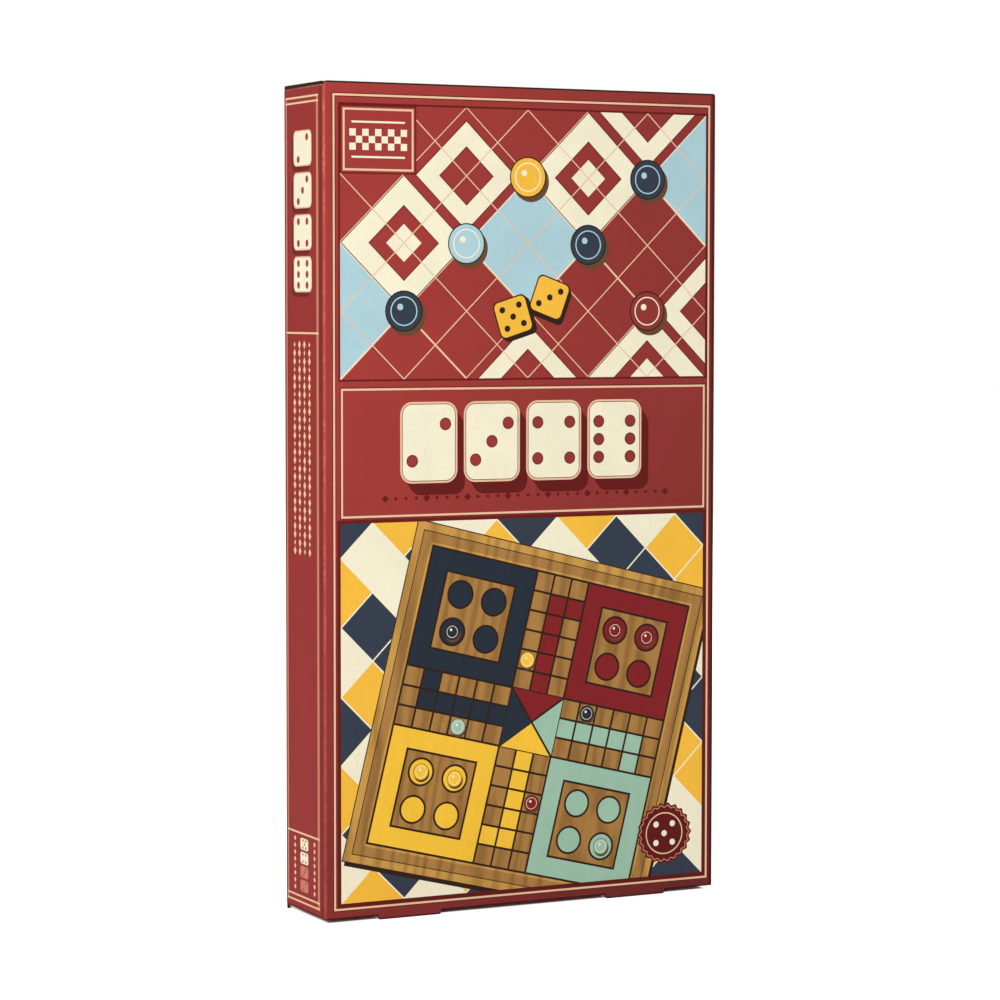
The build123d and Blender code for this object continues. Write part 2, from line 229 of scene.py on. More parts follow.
@dataclass
class Artwork:
    """Flat print painted as shapes, later ones over earlier ones, in millimetres."""

    outline: Outline
    ground: Ink
    shapes: list[tuple[Outline, Ink]] = field(default_factory=list)
    window: Window | None = None
    turn: float = 0.0
    shift: Point = (0.0, 0.0)
    least_area: float = 0.01
    corner_steps: int = 6

    def aim(self, turn: float = 0.0, shift: Point = (0.0, 0.0)) -> None:
        """Sets the turn and the shift of what is painted next, or takes them back."""
        self.turn, self.shift = turn, shift

    def placed(self, point: Point) -> Point:
        """The point after the present turn and shift."""
        c, s = math.cos(self.turn), math.sin(self.turn)
        return (self.shift[0] + c * point[0] - s * point[1], self.shift[1] + s * point[0] + c * point[1])

    def paint(self, outline: Outline, ink: Ink) -> None:
        """Adds one shape, turned, shifted and cut to the present window.

        Args:
            outline: corners of the shape, in order.
            ink: its colour.
        """
        shape = [self.placed(p) for p in outline]
        if self.window:
            shape = clipped(shape, self.window)
        if len(shape) > 2 and area(shape) > self.least_area:
            self.shapes.append((shape, ink))

    def block(self, window: Window, ink: Ink) -> None:
        """Adds a filled rectangle."""
        self.paint(window.corners, ink)

    def line(self, start: Point, end: Point, width: float, ink: Ink) -> None:
        """Adds a straight line.

        Args:
            start: its first end.
            end: its other end.
            width: its width.
            ink: its colour.
        """
        dx, dz = end[0] - start[0], end[1] - start[1]
        scale = width / 2 / math.hypot(dx, dz)
        nx, nz = -dz * scale, dx * scale
        self.paint([(start[0] - nx, start[1] - nz), (end[0] - nx, end[1] - nz),
                    (end[0] + nx, end[1] + nz), (start[0] + nx, start[1] + nz)], ink)

    def rule(self, window: Window, width: float, ink: Ink) -> None:
        """Adds a ruled frame that lies inside a rectangle's edge.

        Args:
            window: the rectangle.
            width: width of the line.
            ink: its colour.
        """
        a, b = window, window.grown(-width)
        for side in (Window(a.left, a.bottom, a.right, b.bottom), Window(a.left, b.top, a.right, a.top),
                     Window(a.left, b.bottom, b.left, b.top), Window(b.right, b.bottom, a.right, b.top)):
            self.block(side, ink)

    def disc(self, centre: Point, radius: float, ink: Ink, sides: int = 28) -> None:
        """Adds a round spot."""
        self.paint([(centre[0] + radius * math.cos(a), centre[1] + radius * math.sin(a))
                    for a in (math.tau * k / sides for k in range(sides))], ink)

    def diamond(self, centre: Point, half_width: float, half_height: float, ink: Ink) -> None:
        """Adds a square or rhomb that stands on its corner."""
        x, z = centre
        self.paint([(x + half_width, z), (x, z + half_height),
                    (x - half_width, z), (x, z - half_height)], ink)

    def rounded(self, window: Window, radius: float, ink: Ink, drop: Point = (0.0, 0.0)) -> None:
        """Adds a rectangle with rounded corners, drawn out along a straight drop if one is given.

        Args:
            window: the rectangle.
            radius: radius of its corners.
            ink: its colour.
            drop: how far the shape is drawn out, across and up.
        """
        points: Outline = []
        inner = window.grown(-radius)
        for turn, (x, z) in enumerate(((inner.right, inner.top), (inner.left, inner.top),
                                       (inner.left, inner.bottom), (inner.right, inner.bottom))):
            for step in range(self.corner_steps + 1):
                angle = math.radians(90 * turn + 90 / self.corner_steps * step)
                here = (x + radius * math.cos(angle), z + radius * math.sin(angle))
                facing = math.cos(angle) * drop[0] + math.sin(angle) * drop[1]
                points.append((here[0] + drop[0], here[1] + drop[1]) if facing > 0 else here)
        self.paint(points, ink)

    def pips(self, centre: Point, pitch: float, radius: float, count: int, ink: Ink) -> None:
        """Adds the pips of one face of a die.

        Args:
            centre: middle of the face.
            pitch: distance between neighbouring pips.
            radius: radius of a pip.
            count: from one to six.
            ink: colour of the pips.
        """
        corner, other, sides = [(-1, -1), (1, 1)], [(-1, 1), (1, -1)], [(-1, 0), (1, 0)]
        places = {1: [(0, 0)], 2: corner, 3: corner + [(0, 0)], 4: corner + other,
                  5: corner + other + [(0, 0)], 6: corner + other + sides}[count]
        for x, z in places:
            self.disc((centre[0] + x * pitch, centre[1] + z * pitch), radius, ink, 20)


@dataclass(frozen=True)
class LudoPattern:
    """Traditional cross-and-circle board of fifteen squares a side, centred on the origin."""

    cell: float
    line: float
    squares: int = 15
    yard_squares: int = 6
    yard_rim: float = 1.05
    nest_radius: float = 0.62
    nest_offset: float = 0.95
    grain: Ink = Ink.WALNUT

    @property
    def half(self) -> float:
        """Half the side of the board."""
        return self.cell * self.squares / 2

    @property
    def lanes(self) -> int:
        """How many squares wide an arm of the cross is."""
        return self.squares - 2 * self.yard_squares

    def square(self, column: float, row: float, span: float = 1.0) -> Window:
        """The rectangle of one square, or of a larger stretch, inside its ruled lines.

        Args:
            column: place of its left edge, in squares.
            row: place of its lower edge, in squares.
            span: its side, in squares.

        Returns:
            The rectangle.
        """
        left, bottom = column * self.cell - self.half, row * self.cell - self.half
        gap = self.line / 2
        return Window(left + gap, bottom + gap,
                      left + span * self.cell - gap, bottom + span * self.cell - gap)

    def draw(self, art: Artwork) -> None:
        """Paints the board.

        Args:
            art: the print that takes it, which may have a turn, a shift and a window.
        """
        art.block(Window(-self.half, -self.half, self.half, self.half).grown(self.line / 2), Ink.DARK_LINE)
        far = self.squares - self.yard_squares
        yards = {(0, 0): Yard.YELLOW, (0, far): Yard.BLUE, (far, far): Yard.RED, (far, 0): Yard.GREEN}
        for (column, row), yard in yards.items():
            self.draw_yard(art, column, row, yard)
        self.draw_tracks(art)
        self.draw_home(art)

    def draw_yard(self, art: Artwork, column: int, row: int, yard: Yard) -> None:
        """Paints one corner yard with its four round nests.

        Args:
            art: the print that takes it.
            column: place of its left edge, in squares.
            row: place of its lower edge, in squares.
            yard: the player it belongs to.
        """
        outer = self.square(column, row, self.yard_squares)
        x, z = outer.middle
        inset = self.cell * self.yard_rim
        art.block(outer, yard.ink)
        art.block(outer.grown(self.line - inset), Ink.DARK_LINE)
        art.block(outer.grown(-inset), self.grain)
        for dx, dz in ((-1, -1), (1, -1), (1, 1), (-1, 1)):
            spot = (x + dx * self.cell * self.nest_offset, z + dz * self.cell * self.nest_offset)
            art.disc(spot, self.cell * self.nest_radius + self.line, Ink.DARK_LINE)
            art.disc(spot, self.cell * self.nest_radius, yard.ink)

    def draw_tracks(self, art: Artwork) -> None:
        """Paints the four arms: the walk round the board and each player's way home.

        Args:
            art: the print that takes them.
        """
        near, last = self.yard_squares, self.squares - 1
        arms = ((Yard.BLUE, lambda a, b: (b, last - a)), (Yard.RED, lambda a, b: (last - a, last - b)),
                (Yard.GREEN, lambda a, b: (last - b, a)), (Yard.YELLOW, lambda a, b: (a, b)))
        for yard, place in arms:
            for lane in range(self.lanes):
                for step in range(near):
                    way_home, start = lane == 1 and step > 0, lane == 0 and step == 1
                    ink = yard.ink if way_home or start else self.grain
                    art.block(self.square(*place(near + lane, step)), ink)

    def draw_home(self, art: Artwork) -> None:
        """Paints the middle of the board as four triangles.

        Args:
            art: the print that takes it.
        """
        reach = self.lanes / 2 * self.cell
        corners = [(-reach, -reach), (reach, -reach), (reach, reach), (-reach, reach)]
        players = (Yard.YELLOW, Yard.GREEN, Yard.RED, Yard.BLUE)
        for yard, a, b in zip(players, corners, corners[1:] + corners[:1]):
            art.paint([a, b, (0.0, 0.0)], yard.ink)
            art.line(a, (0.0, 0.0), self.line, Ink.DARK_LINE)


@dataclass(frozen=True)
class Counter:
    """Turned counter seen from above. The sizes below its colours are shares of its radius."""

    radius: float
    ink: Ink
    rim: Ink
    shadow: Point = (0.16, -0.22)
    top: float = 0.94
    ring: float = 0.72
    well: float = 0.66
    glint: float = 0.16
    glint_offset: float = 0.2

    def draw(self, art: Artwork, centre: Point) -> None:
        """Paints the counter.

        Args:
            art: the print that takes it.
            centre: where it lies.
        """
        (x, z), radius, glint = centre, self.radius, self.radius * self.glint_offset
        art.disc((x + radius * self.shadow[0], z + radius * self.shadow[1]), radius, Ink.SHADE, 36)
        art.disc(centre, radius, Ink.DARK_LINE, 36)
        art.disc(centre, radius * self.top, self.ink, 36)
        art.disc(centre, radius * self.ring, self.rim, 32)
        art.disc(centre, radius * self.well, self.ink, 32)
        art.disc((x - glint, z + glint), radius * self.glint, self.rim, 16)


@dataclass(frozen=True)
class FrontPrint:
    """Print of the front: a ruled border, two picture windows and a band of tiles between them."""

    border: Window = Window(-76.4, 4.5, 77.4, 295.6)
    line: float = 0.75
    casing: float = 0.45
    upper: Window = Window(-73.6, 194.6, 75.6, 291.8)
    lower: Window = Window(-73.6, 6.9, 75.1, 143.3)
    upper_rim: float = 0.7
    lower_rim: float = 1.3
    columns: int = 3
    rows: int = 2
    diamonds: tuple[Layers, ...] = (
        ((1.0, Ink.DEEP_RED), (0.98, Ink.CREAM), (0.56, Ink.DEEP_RED), (0.54, Ink.CRIMSON),
         (0.28, Ink.CREAM)),
        ((1.0, Ink.WARM_LINE), (0.98, Ink.CRIMSON)),
        ((1.0, Ink.CREAM), (0.98, Ink.PALE_BLUE)),
        ((1.0, Ink.CRIMSON), (0.82, Ink.DEEP_RED), (0.8, Ink.CREAM), (0.44, Ink.DEEP_RED),
         (0.42, Ink.CRIMSON)),
        ((1.0, Ink.WARM_LINE), (0.98, Ink.CRIMSON)))
    hairline: float = 0.4
    counter_radius: float = 7.4
    counters: tuple[tuple[int, int, Ink, Ink], ...] = (
        (1, 1, Ink.NAVY, Ink.PALE_BLUE), (3, 3, Ink.YELLOW, Ink.CREAM), (5, 1, Ink.CRIMSON, Ink.CREAM),
        (2, 2, Ink.PALE_BLUE, Ink.CREAM), (4, 2, Ink.NAVY, Ink.PALE_BLUE), (5, 3, Ink.NAVY, Ink.PALE_BLUE))
    dice: tuple[tuple[float, float, float, int], ...] = ((-6.0, -2.0, 0.3, 5), (9.0, 5.0, -0.35, 3))
    die_side: float = 13.0
    die_corner: float = 2.0
    die_rim: float = 0.5
    die_rim_corner: float = 2.2
    die_drop: Point = (1.2, -1.4)
    die_pitch: float = 0.27
    die_pip: float = 0.09
    check_step: float = 24.8
    checks: tuple[Ink, ...] = (Ink.NAVY, Ink.YELLOW, Ink.CREAM)
    board_cell: float = 7.3
    board_line: float = 0.8
    board_turn: float = 14.0
    board_shift: Point = (2.0, -7.0)
    board_frame: float = 8.2
    frame_layers: Layers = ((1.0, Ink.DARK_LINE), (0.95, Ink.OAK), (0.61, Ink.DARK_LINE), (0.57, Ink.WALNUT),
                            (0.15, Ink.OAK))
    board_shadow: tuple[float, float, float] = (1.2, 1.3, 0.8)
    walk: tuple[tuple[float, float, Yard], ...] = (
        (6.5, 10.5, Yard.YELLOW), (10.5, 8.5, Yard.BLUE), (3.5, 6.5, Yard.GREEN), (8.5, 3.5, Yard.RED))
    walk_radius: float = 0.42
    band: Window = Window(-73.4, 145.2, 75.6, 191.4)
    band_edge: float = 0.4
    tiles: Window = Window(-49.9, 157.4, 48.1, 186.0)
    tile_pips: tuple[int, ...] = (2, 3, 4, 6)
    tile_gap: float = 3.3
    tile_corner: float = 4.2
    tile_drop: Point = (3.4, -4.6)
    tile_layers: Layers = ((-0.35, Ink.WARM_LINE), (0.35, Ink.DEEP_RED), (0.6, Ink.CREAM))
    tile_pitch: float = 6.6
    tile_pip_layers: Layers = ((2.3, Ink.DEEP_RED), (1.95, Ink.CRIMSON))
    dots_start: Point = (-56.2, 151.8)
    dots_pitch: float = 4.1
    dots_count: int = 29
    large_dot: float = 1.4
    small_dot: float = 0.8
    large_every: int = 4
    plate: Window = Window(-73.6, 267.5, -43.8, 291.8)
    plate_edge: float = 0.5
    plate_inset: float = 1.1
    plate_line: float = 0.7
    plate_line_inset: float = 4.5
    plate_line_rise: float = 6.2
    plate_check: float = 2.5
    plate_columns: int = 9
    plate_rows: int = 3
    rosette_centre: Point = (58.9, 22.8)
    rosette_radius: float = 11.7
    rosette_lobes: int = 22
    rosette_scallop: float = 0.04
    rosette_layers: Layers = ((1.0, Ink.DEEP_RED), (0.93, Ink.SALMON), (0.89, Ink.DEEP_RED))
    rosette_discs: Layers = ((0.68, Ink.WARM_LINE), (0.64, Ink.DEEP_RED))
    rosette_pitch: float = 0.3
    rosette_pip: float = 0.1

    def draw(self, art: Artwork) -> None:
        """Paints the whole front.

        Args:
            art: the print that takes it.
        """
        casing = self.line * self.casing
        art.rule(self.border.grown(casing), self.line + 2 * casing, Ink.DEEP_RED)
        art.rule(self.border, self.line, Ink.WARM_LINE)
        for window, rim, picture in ((self.upper, self.upper_rim, self.draw_harlequin),
                                     (self.lower, self.lower_rim, self.draw_board)):
            art.rule(window.grown(rim), rim, Ink.DEEP_RED)
            art.window = window
            picture(art)
            art.window = None
        self.draw_band(art)
        self.draw_plate(art)
        self.draw_rosette(art)

    def draw_harlequin(self, art: Artwork) -> None:
        """Paints the upper window: large diamonds, fine crossing lines, counters and two dice.

        Args:
            art: the print that takes it.
        """
        window, columns, rows = self.upper, self.columns, self.rows
        half_w = (window.right - window.left) / columns / 2
        half_h = (window.top - window.bottom) / rows / 2
        art.block(window, Ink.CRIMSON)
        for column in range(2 * columns + 1):
            for row in range(2 * rows + 1):
                if (column + row) % 2:
                    centre = (window.left + column * half_w, window.bottom + row * half_h)
                    for share, ink in self.diamonds[(column + 2 * row) % len(self.diamonds)]:
                        art.diamond(centre, half_w * share, half_h * share, ink)
        for k in range(1 - 2 * rows, 2 * (columns + rows), 2):
            x = window.left + k * half_w
            for lean in (-1, 1):
                end = (x + lean * 2 * rows * half_w, window.top)
                art.line((x, window.bottom), end, self.hairline, Ink.WARM_LINE)
        for column, row, ink, rim in self.counters:
            centre = (window.left + column * half_w, window.bottom + row * half_h)
            Counter(self.counter_radius, ink, rim).draw(art, centre)
        middle = (window.left + columns * half_w, window.bottom + half_h)
        for dx, dz, turn, count in self.dice:
            self.draw_die(art, (middle[0] + dx, middle[1] + dz), turn, count)

    def draw_die(self, art: Artwork, centre: Point, turn: float, count: int) -> None:
        """Paints a yellow die seen from above.

        Args:
            art: the print that takes it.
            centre: where it lies.
            turn: its angle in radians.
            count: number of pips on its upper face.
        """
        art.aim(turn, centre)
        side, half = self.die_side, self.die_side / 2
        box = Window(-half, -half, half, half)
        art.rounded(box.grown(self.die_rim), self.die_rim_corner, Ink.DARK_LINE, self.die_drop)
        art.rounded(box, self.die_corner, Ink.YELLOW)
        art.pips((0.0, 0.0), side * self.die_pitch, side * self.die_pip, count, Ink.DARK_LINE)
        art.aim()

    def draw_board(self, art: Artwork) -> None:
        """Paints the lower window: a wooden ludo board lying turned on a checked ground.

        Args:
            art: the print that takes it.
        """
        window, step = self.lower, self.check_step
        art.block(window, Ink.CREAM)
        size = (step - self.line) / 2
        for row in range(2 * math.ceil((window.top - window.bottom) / step) + 1):
            for column in range(math.ceil((window.right - window.left) / step) + 1):
                centre = (window.left + (column + row % 2 / 2) * step, window.top - row * step / 2)
                art.diamond(centre, size, size, self.checks[(column + 2 * row) % len(self.checks)])
        pattern = LudoPattern(self.board_cell, self.board_line)
        x, z = window.middle
        art.aim(math.radians(-self.board_turn), (x + self.board_shift[0], z + self.board_shift[1]))
        half, rim = pattern.half, self.board_frame
        left, low, right = self.board_shadow
        shadow = Window(-half - rim + left, -half - rim - low, half + rim + right, half + rim)
        art.block(shadow, Ink.DARK_LINE)
        for share, ink in self.frame_layers:
            art.block(Window(-half, -half, half, half).grown(rim * share), ink)
        pattern.draw(art)
        self.draw_game(art, pattern)
        art.aim()

    def draw_game(self, art: Artwork, pattern: LudoPattern) -> None:
        """Paints counters on the board's nests and walk.

        Args:
            art: the print that takes them.
            pattern: the board that they lie on.
        """
        near, nest = pattern.yard_squares / 2, pattern.nest_offset
        far, cell, half = pattern.squares - near, pattern.cell, pattern.half
        nests = ((near - nest, near + nest, Yard.YELLOW), (near + nest, near + nest, Yard.YELLOW),
                 (near - nest, far - nest, Yard.BLUE), (far - nest, far + nest, Yard.RED),
                 (far + nest, far + nest, Yard.RED), (far + nest, near - nest, Yard.GREEN))
        for column, row, yard in nests + self.walk:
            counter = Counter(cell * self.walk_radius, yard.ink, Ink.CREAM)
            counter.draw(art, (column * cell - half, row * cell - half))

    def draw_band(self, art: Artwork) -> None:
        """Paints the middle band: four raised tiles with pips over a line of small diamonds.

        Args:
            art: the print that takes it.
        """
        art.block(self.band.grown(self.band_edge), Ink.DEEP_RED)
        art.block(self.band, Ink.CRIMSON)
        art.rule(self.band, self.line, Ink.WARM_LINE)
        count, box = len(self.tile_pips), self.tiles
        width = (box.right - box.left - (count - 1) * self.tile_gap) / count
        for place, pips in enumerate(self.tile_pips):
            left = box.left + place * (width + self.tile_gap)
            tile = Window(left, box.bottom, left + width, box.top)
            art.rounded(tile, self.tile_corner, Ink.DEEP_RED, self.tile_drop)
            for inset, ink in self.tile_layers:
                art.rounded(tile.grown(-inset), self.tile_corner - inset, ink)
            for radius, ink in self.tile_pip_layers:
                art.pips(tile.middle, self.tile_pitch, radius, pips, ink)
        for k in range(self.dots_count):
            size = self.small_dot if k % self.large_every else self.large_dot
            centre = (self.dots_start[0] + self.dots_pitch * k, self.dots_start[1])
            art.diamond(centre, size, size, Ink.DEEP_RED)

    def draw_plate(self, art: Artwork) -> None:
        """Paints the plain plate in the upper corner: ruled lines and a strip of checks.

        Args:
            art: the print that takes it.
        """
        plate, side, inset = self.plate, self.plate_check, self.plate_line_inset
        x, z = plate.middle
        art.block(plate, Ink.DEEP_RED)
        art.block(plate.grown(-self.plate_edge), Ink.CRIMSON)
        art.rule(plate.grown(-self.plate_inset), self.line, Ink.WARM_LINE)
        for level in (z - self.plate_line_rise, z + self.plate_line_rise):
            art.line((plate.left + inset, level), (plate.right - inset, level), self.plate_line, Ink.CREAM)
        for row in range(self.plate_rows):
            for column in range(row % 2, self.plate_columns, 2):
                left = x + (column - self.plate_columns / 2) * side
                bottom = z + (row - self.plate_rows / 2) * side
                art.block(Window(left, bottom, left + side, bottom + side), Ink.CREAM)

    def draw_rosette(self, art: Artwork) -> None:
        """Paints a plain scalloped rosette with five pips.

        Args:
            art: the print that takes it.
        """
        (x, z), scallop, steps = self.rosette_centre, self.rosette_scallop, 6 * self.rosette_lobes
        for share, ink in self.rosette_layers:
            outline: Outline = []
            for k in range(steps):
                angle = math.tau * k / steps
                wave = 1 - scallop + scallop * math.cos(self.rosette_lobes * angle)
                reach = self.rosette_radius * share * wave
                outline.append((x + reach * math.cos(angle), z + reach * math.sin(angle)))
            art.paint(outline, ink)
        for share, ink in self.rosette_discs:
            art.disc((x, z), self.rosette_radius * share, ink, 40)
        art.pips((x, z), self.rosette_radius * self.rosette_pitch, self.rosette_radius * self.rosette_pip, 5,
                 Ink.CREAM)


@dataclass(frozen=True)
class SpinePrint:
    """Print of the spine: a ruled panel with tiles, a chain of diamonds and a small ruled box."""

    border: Window = Window(-16.1, 4.6, 13.5, 295.2)
    far_line: float = 1.3
    near_line: float = 1.9
    dark_line: float = 0.8
    fold_line: Window = Window(14.7, 0.0, 16.4, 300.0)
    far_margin: float = 1.4
    line: float = 0.7
    upper_gap: float = 1.9
    lower_gap: float = 2.1
    divider: float = 211.0
    middle: float = -0.7
    tile_width: float = 16.4
    tile_height: float = 12.8
    tile_top: float = 283.4
    tile_bottom: float = 225.6
    tile_pips: tuple[int, ...] = (2, 3, 4, 6)
    tile_shadow_corner: float = 2.6
    tile_drop: Point = (-1.6, -1.6)
    tile_corner: float = 2.4
    tile_rim: float = 0.5
    tile_face_corner: float = 2.0
    tile_pitch: float = 3.9
    tile_pip: float = 1.3
    chain_top: float = 206.8
    chain_bottom: float = 129.4
    chain_links: int = 26
    chain_lanes: tuple[float, ...] = (-8.4, -3.9, 0.6, 5.1)
    large_link: float = 1.25
    small_link: float = 0.8
    link_stretch: float = 1.25
    box_top: float = 29.8
    box_head: float = 1.2
    box_foot: float = 3.6
    box_pips: tuple[int, ...] = (2, 3, 4, 5)
    box_half: float = 3.6
    box_share: float = 0.42
    box_corner: float = 1.1
    box_pitch: float = 1.3
    box_pip: float = 0.5
    box_sides: tuple[float, ...] = (-9.2, 8.6)
    box_rise: float = 0.25
    box_diamond: float = 1.0

    def draw(self, art: Artwork) -> None:
        """Paints the whole spine.

        Args:
            art: the print that takes it.
        """
        self.draw_border(art)
        half_w, half_h = self.tile_width / 2, self.tile_height / 2
        pitch = (self.tile_top - self.tile_bottom - self.tile_height) / (len(self.tile_pips) - 1)
        for place, pips in enumerate(self.tile_pips):
            z = self.tile_top - half_h - place * pitch
            tile = Window(self.middle - half_w, z - half_h, self.middle + half_w, z + half_h)
            art.rounded(tile, self.tile_shadow_corner, Ink.DEEP_RED, self.tile_drop)
            art.rounded(tile, self.tile_corner, Ink.WARM_LINE)
            art.rounded(tile.grown(-self.tile_rim), self.tile_face_corner, Ink.CREAM)
            art.pips(tile.middle, self.tile_pitch, self.tile_pip, pips, Ink.CRIMSON)
        step = (self.chain_top - self.chain_bottom) / self.chain_links
        for k in range(self.chain_links):
            for place, lane in enumerate(self.chain_lanes):
                size = self.large_link if (k + place) % 3 else self.small_link
                art.diamond((lane, self.chain_top - step * k), size, size * self.link_stretch, Ink.WARM_LINE)
        self.draw_box(art)

    def draw_border(self, art: Artwork) -> None:
        """Paints the dark margins along the folds and the ruled panel between them.

        Args:
            art: the print that takes it.
        """
        border, fold = self.border, self.fold_line
        art.block(fold, Ink.FOLD_RED)
        art.block(Window(-fold.right - self.far_margin, 0.0, border.left, fold.top), Ink.FOLD_RED)
        for left, width in ((border.left, self.far_line), (border.right - self.near_line, self.near_line)):
            art.block(Window(left, border.bottom, left + width + self.dark_line, border.top), Ink.FOLD_RED)
            art.block(Window(left, border.bottom, left + width, border.top), Ink.SALMON)
        for level in (border.top, border.top - self.upper_gap, border.bottom + self.lower_gap, border.bottom,
                      self.divider, self.box_top):
            art.line((border.left, level), (border.right, level), self.line, Ink.WARM_LINE)

    def draw_box(self, art: Artwork) -> None:
        """Paints the small box near the floor: four tiles between two rows of diamonds.

        Args:
            art: the print that takes it.
        """
        low, high = self.border.bottom + self.box_foot, self.box_top - self.box_head
        pitch = (high - low) / len(self.box_pips)
        for row, pips in enumerate(self.box_pips):
            z = low + (row + 0.5) * pitch
            tile = Window(self.middle - self.box_half, z - self.box_share * pitch,
                          self.middle + self.box_half, z + self.box_share * pitch)
            art.rounded(tile, self.box_corner, Ink.CREAM if row > 1 else Ink.SALMON)
            art.pips((self.middle, z), self.box_pitch, self.box_pip, pips, Ink.CRIMSON)
            for side in self.box_sides:
                for rise in (-self.box_rise, self.box_rise):
                    art.diamond((side, z + rise * pitch), self.box_diamond, self.box_diamond, Ink.WARM_LINE)


@dataclass
class FoldedSheet:
    """A board of constant thickness whose printed side follows a path from flat to folded."""

    name: str
    art: Artwork
    thickness: float
    place: Callable[[float, float, float], Vector]
    stops_across: Sequence[float] = ()
    stops_along: Sequence[float] = ()
    fold_share: Callable[[float, float], float] = lambda across, along: 0.0
    snap: float = 1e-4
    weld_digits: int = 7

    def triangles(self) -> tuple[list[Point], list[tuple[Sequence[int], Ink]]]:
        """Divides the print into flat faces of one ink each.

        Returns:
            The corner points, and each face as its corners and its ink.
        """
        points: Outline = []
        faces: list[list[int]] = []
        inks: list[Ink] = []
        for outline, ink in [(self.art.outline, self.art.ground), *self.art.shapes]:
            faces.append(list(range(len(points), len(points) + len(outline))))
            points += outline
            inks.append(ink)
        edges: list[tuple[int, int]] = []
        xs, zs = [p[0] for p in self.art.outline], [p[1] for p in self.art.outline]
        stops = [[(x, min(zs)), (x, max(zs))] for x in self.stops_across]
        stops += [[(min(xs), z), (max(xs), z)] for z in self.stops_along]
        for ends in stops:
            edges.append((len(points), len(points) + 1))
            points += ends
        made = delaunay_2d_cdt([Vector(p) for p in points], edges, faces, 0, self.snap, True)
        kept = [(face, inks[max(source)]) for face, source in zip(made[2], made[5]) if 0 in source]
        return [(v.x, v.y) for v in made[0]], kept

    def build(self, materials: Sequence[Material]) -> Piece:
        """Builds the closed mesh: printed side, raw side and cut edges.

        Args:
            materials: the finishes of the print, of the cut edges and of the raw side.

        Returns:
            The new object.
        """
        points, faces = self.triangles()
        bm = bmesh.new()
        ink_layer = bm.loops.layers.float_color.new("ink")
        shading_layer = bm.loops.layers.float.new("shading")
        fold_layer = bm.verts.layers.float.new("fold")
        outer = []
        for across, along in points:
            vertex = bm.verts.new(self.place(across, along, 0.0) * MM)
            vertex[fold_layer] = self.fold_share(across, along)
            outer.append(vertex)
        for corners, ink in faces:
            if len({outer[i] for i in corners}) < 3:
                continue
            face = bm.faces.new([outer[i] for i in corners])
            for loop in face.loops:
                loop[ink_layer], loop[shading_layer] = ink.rgba, ink.shading
        self.close(bm, dict(zip(outer, points)))
        return finished(self.name, bm, materials)

    def close(self, bm: bmesh.types.BMesh, where: dict[bmesh.types.BMVert, Point]) -> None:
        """Adds the cut edges and the raw side behind the print.

        Args:
            bm: the mesh, which holds the printed side.
            where: place of each of its points on the flat print.
        """
        rim = [e for e in bm.edges if len(e.link_faces) == 1]
        back: dict[tuple, bmesh.types.BMVert] = {}
        inner: dict[bmesh.types.BMVert, bmesh.types.BMVert] = {}
        for vertex in dict.fromkeys(v for e in rim for v in e.verts):
            spot = self.place(*where[vertex], self.thickness) * MM
            key = tuple(round(c, self.weld_digits) for c in spot)
            if key not in back:
                back[key] = bm.verts.new(spot)
            inner[vertex] = back[key]
        for edge in rim:
            a, b = edge.verts
            ring = list(dict.fromkeys([a, b, inner[b], inner[a]]))
            if len(ring) > 2:
                bm.faces.new(ring).material_index = 1
        below = [e for e in bm.edges if len(e.link_faces) == 1]
        for part in bmesh.ops.triangle_fill(bm, use_beauty=True, edges=below)["geom"]:
            if isinstance(part, bmesh.types.BMFace):
                part.material_index = 2
        bmesh.ops.delete(bm, geom=[v for v in bm.verts if not v.link_faces], context="VERTS")
        bmesh.ops.recalc_face_normals(bm, faces=bm.faces)


def finished(name: str, bm: bmesh.types.BMesh, materials: Iterable[Material]) -> Piece:
    """Turns a bmesh into a linked object.

    Args:
        name: name of the piece.
        bm: its mesh, which is freed.
        materials: its finishes, in the order of its material slots.

    Returns:
        The new object.
    """
    mesh = bpy.data.meshes.new(name)
    bm.to_mesh(mesh)
    bm.free()
    for material in materials:
        mesh.materials.append(material)
    piece = bpy.data.objects.new(name, mesh)
    bpy.context.scene.collection.objects.link(piece)
    return piece


def smoothed(piece: Piece, degrees: float = 35.0) -> Piece:
    """Shades a piece smooth, apart from its sharp edges.

    Args:
        piece: the piece.
        degrees: angle from which an edge stays sharp.

    Returns:
        The same piece.
    """
    limit = math.cos(math.radians(degrees))
    bm = bmesh.new()
    bm.from_mesh(piece.data)
    for face in bm.faces:
        face.smooth = True
    for edge in bm.edges:
        sides = edge.link_faces
        edge.smooth = len(sides) == 2 and sides[0].normal.dot(sides[1].normal) > limit
    bm.to_mesh(piece.data)
    bm.free()
    return piece


def softened(piece: Piece, width: float, degrees: float = 40.0) -> None:
    """Rounds the sharp edges of a piece with a modifier.

    Args:
        piece: a new piece or a carried-over node.
        width: width of the rounding in millimetres.
        degrees: angle from which an edge is rounded.
    """
    bevel = piece.modifiers.new("edge_rounding", "BEVEL")
    bevel.width = width * MM
    bevel.segments = 2
    bevel.limit_method = "ANGLE"
    bevel.angle_limit = math.radians(degrees)


def dress(node: str, material: Material, rounding: float = 0.0) -> Piece:
    """Gives a carried-over node its finish.

    Args:
        node: name of the node.
        material: its new material.
        rounding: width of the rounding of its edges in millimetres, or none.

    Returns:
        The node's object.
    """
    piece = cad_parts[node]
    if not piece.material_slots:
        piece.data.materials.append(material)
    for place in piece.material_slots:
        place.material = material
    if rounding:
        softened(piece, rounding)
    return piece


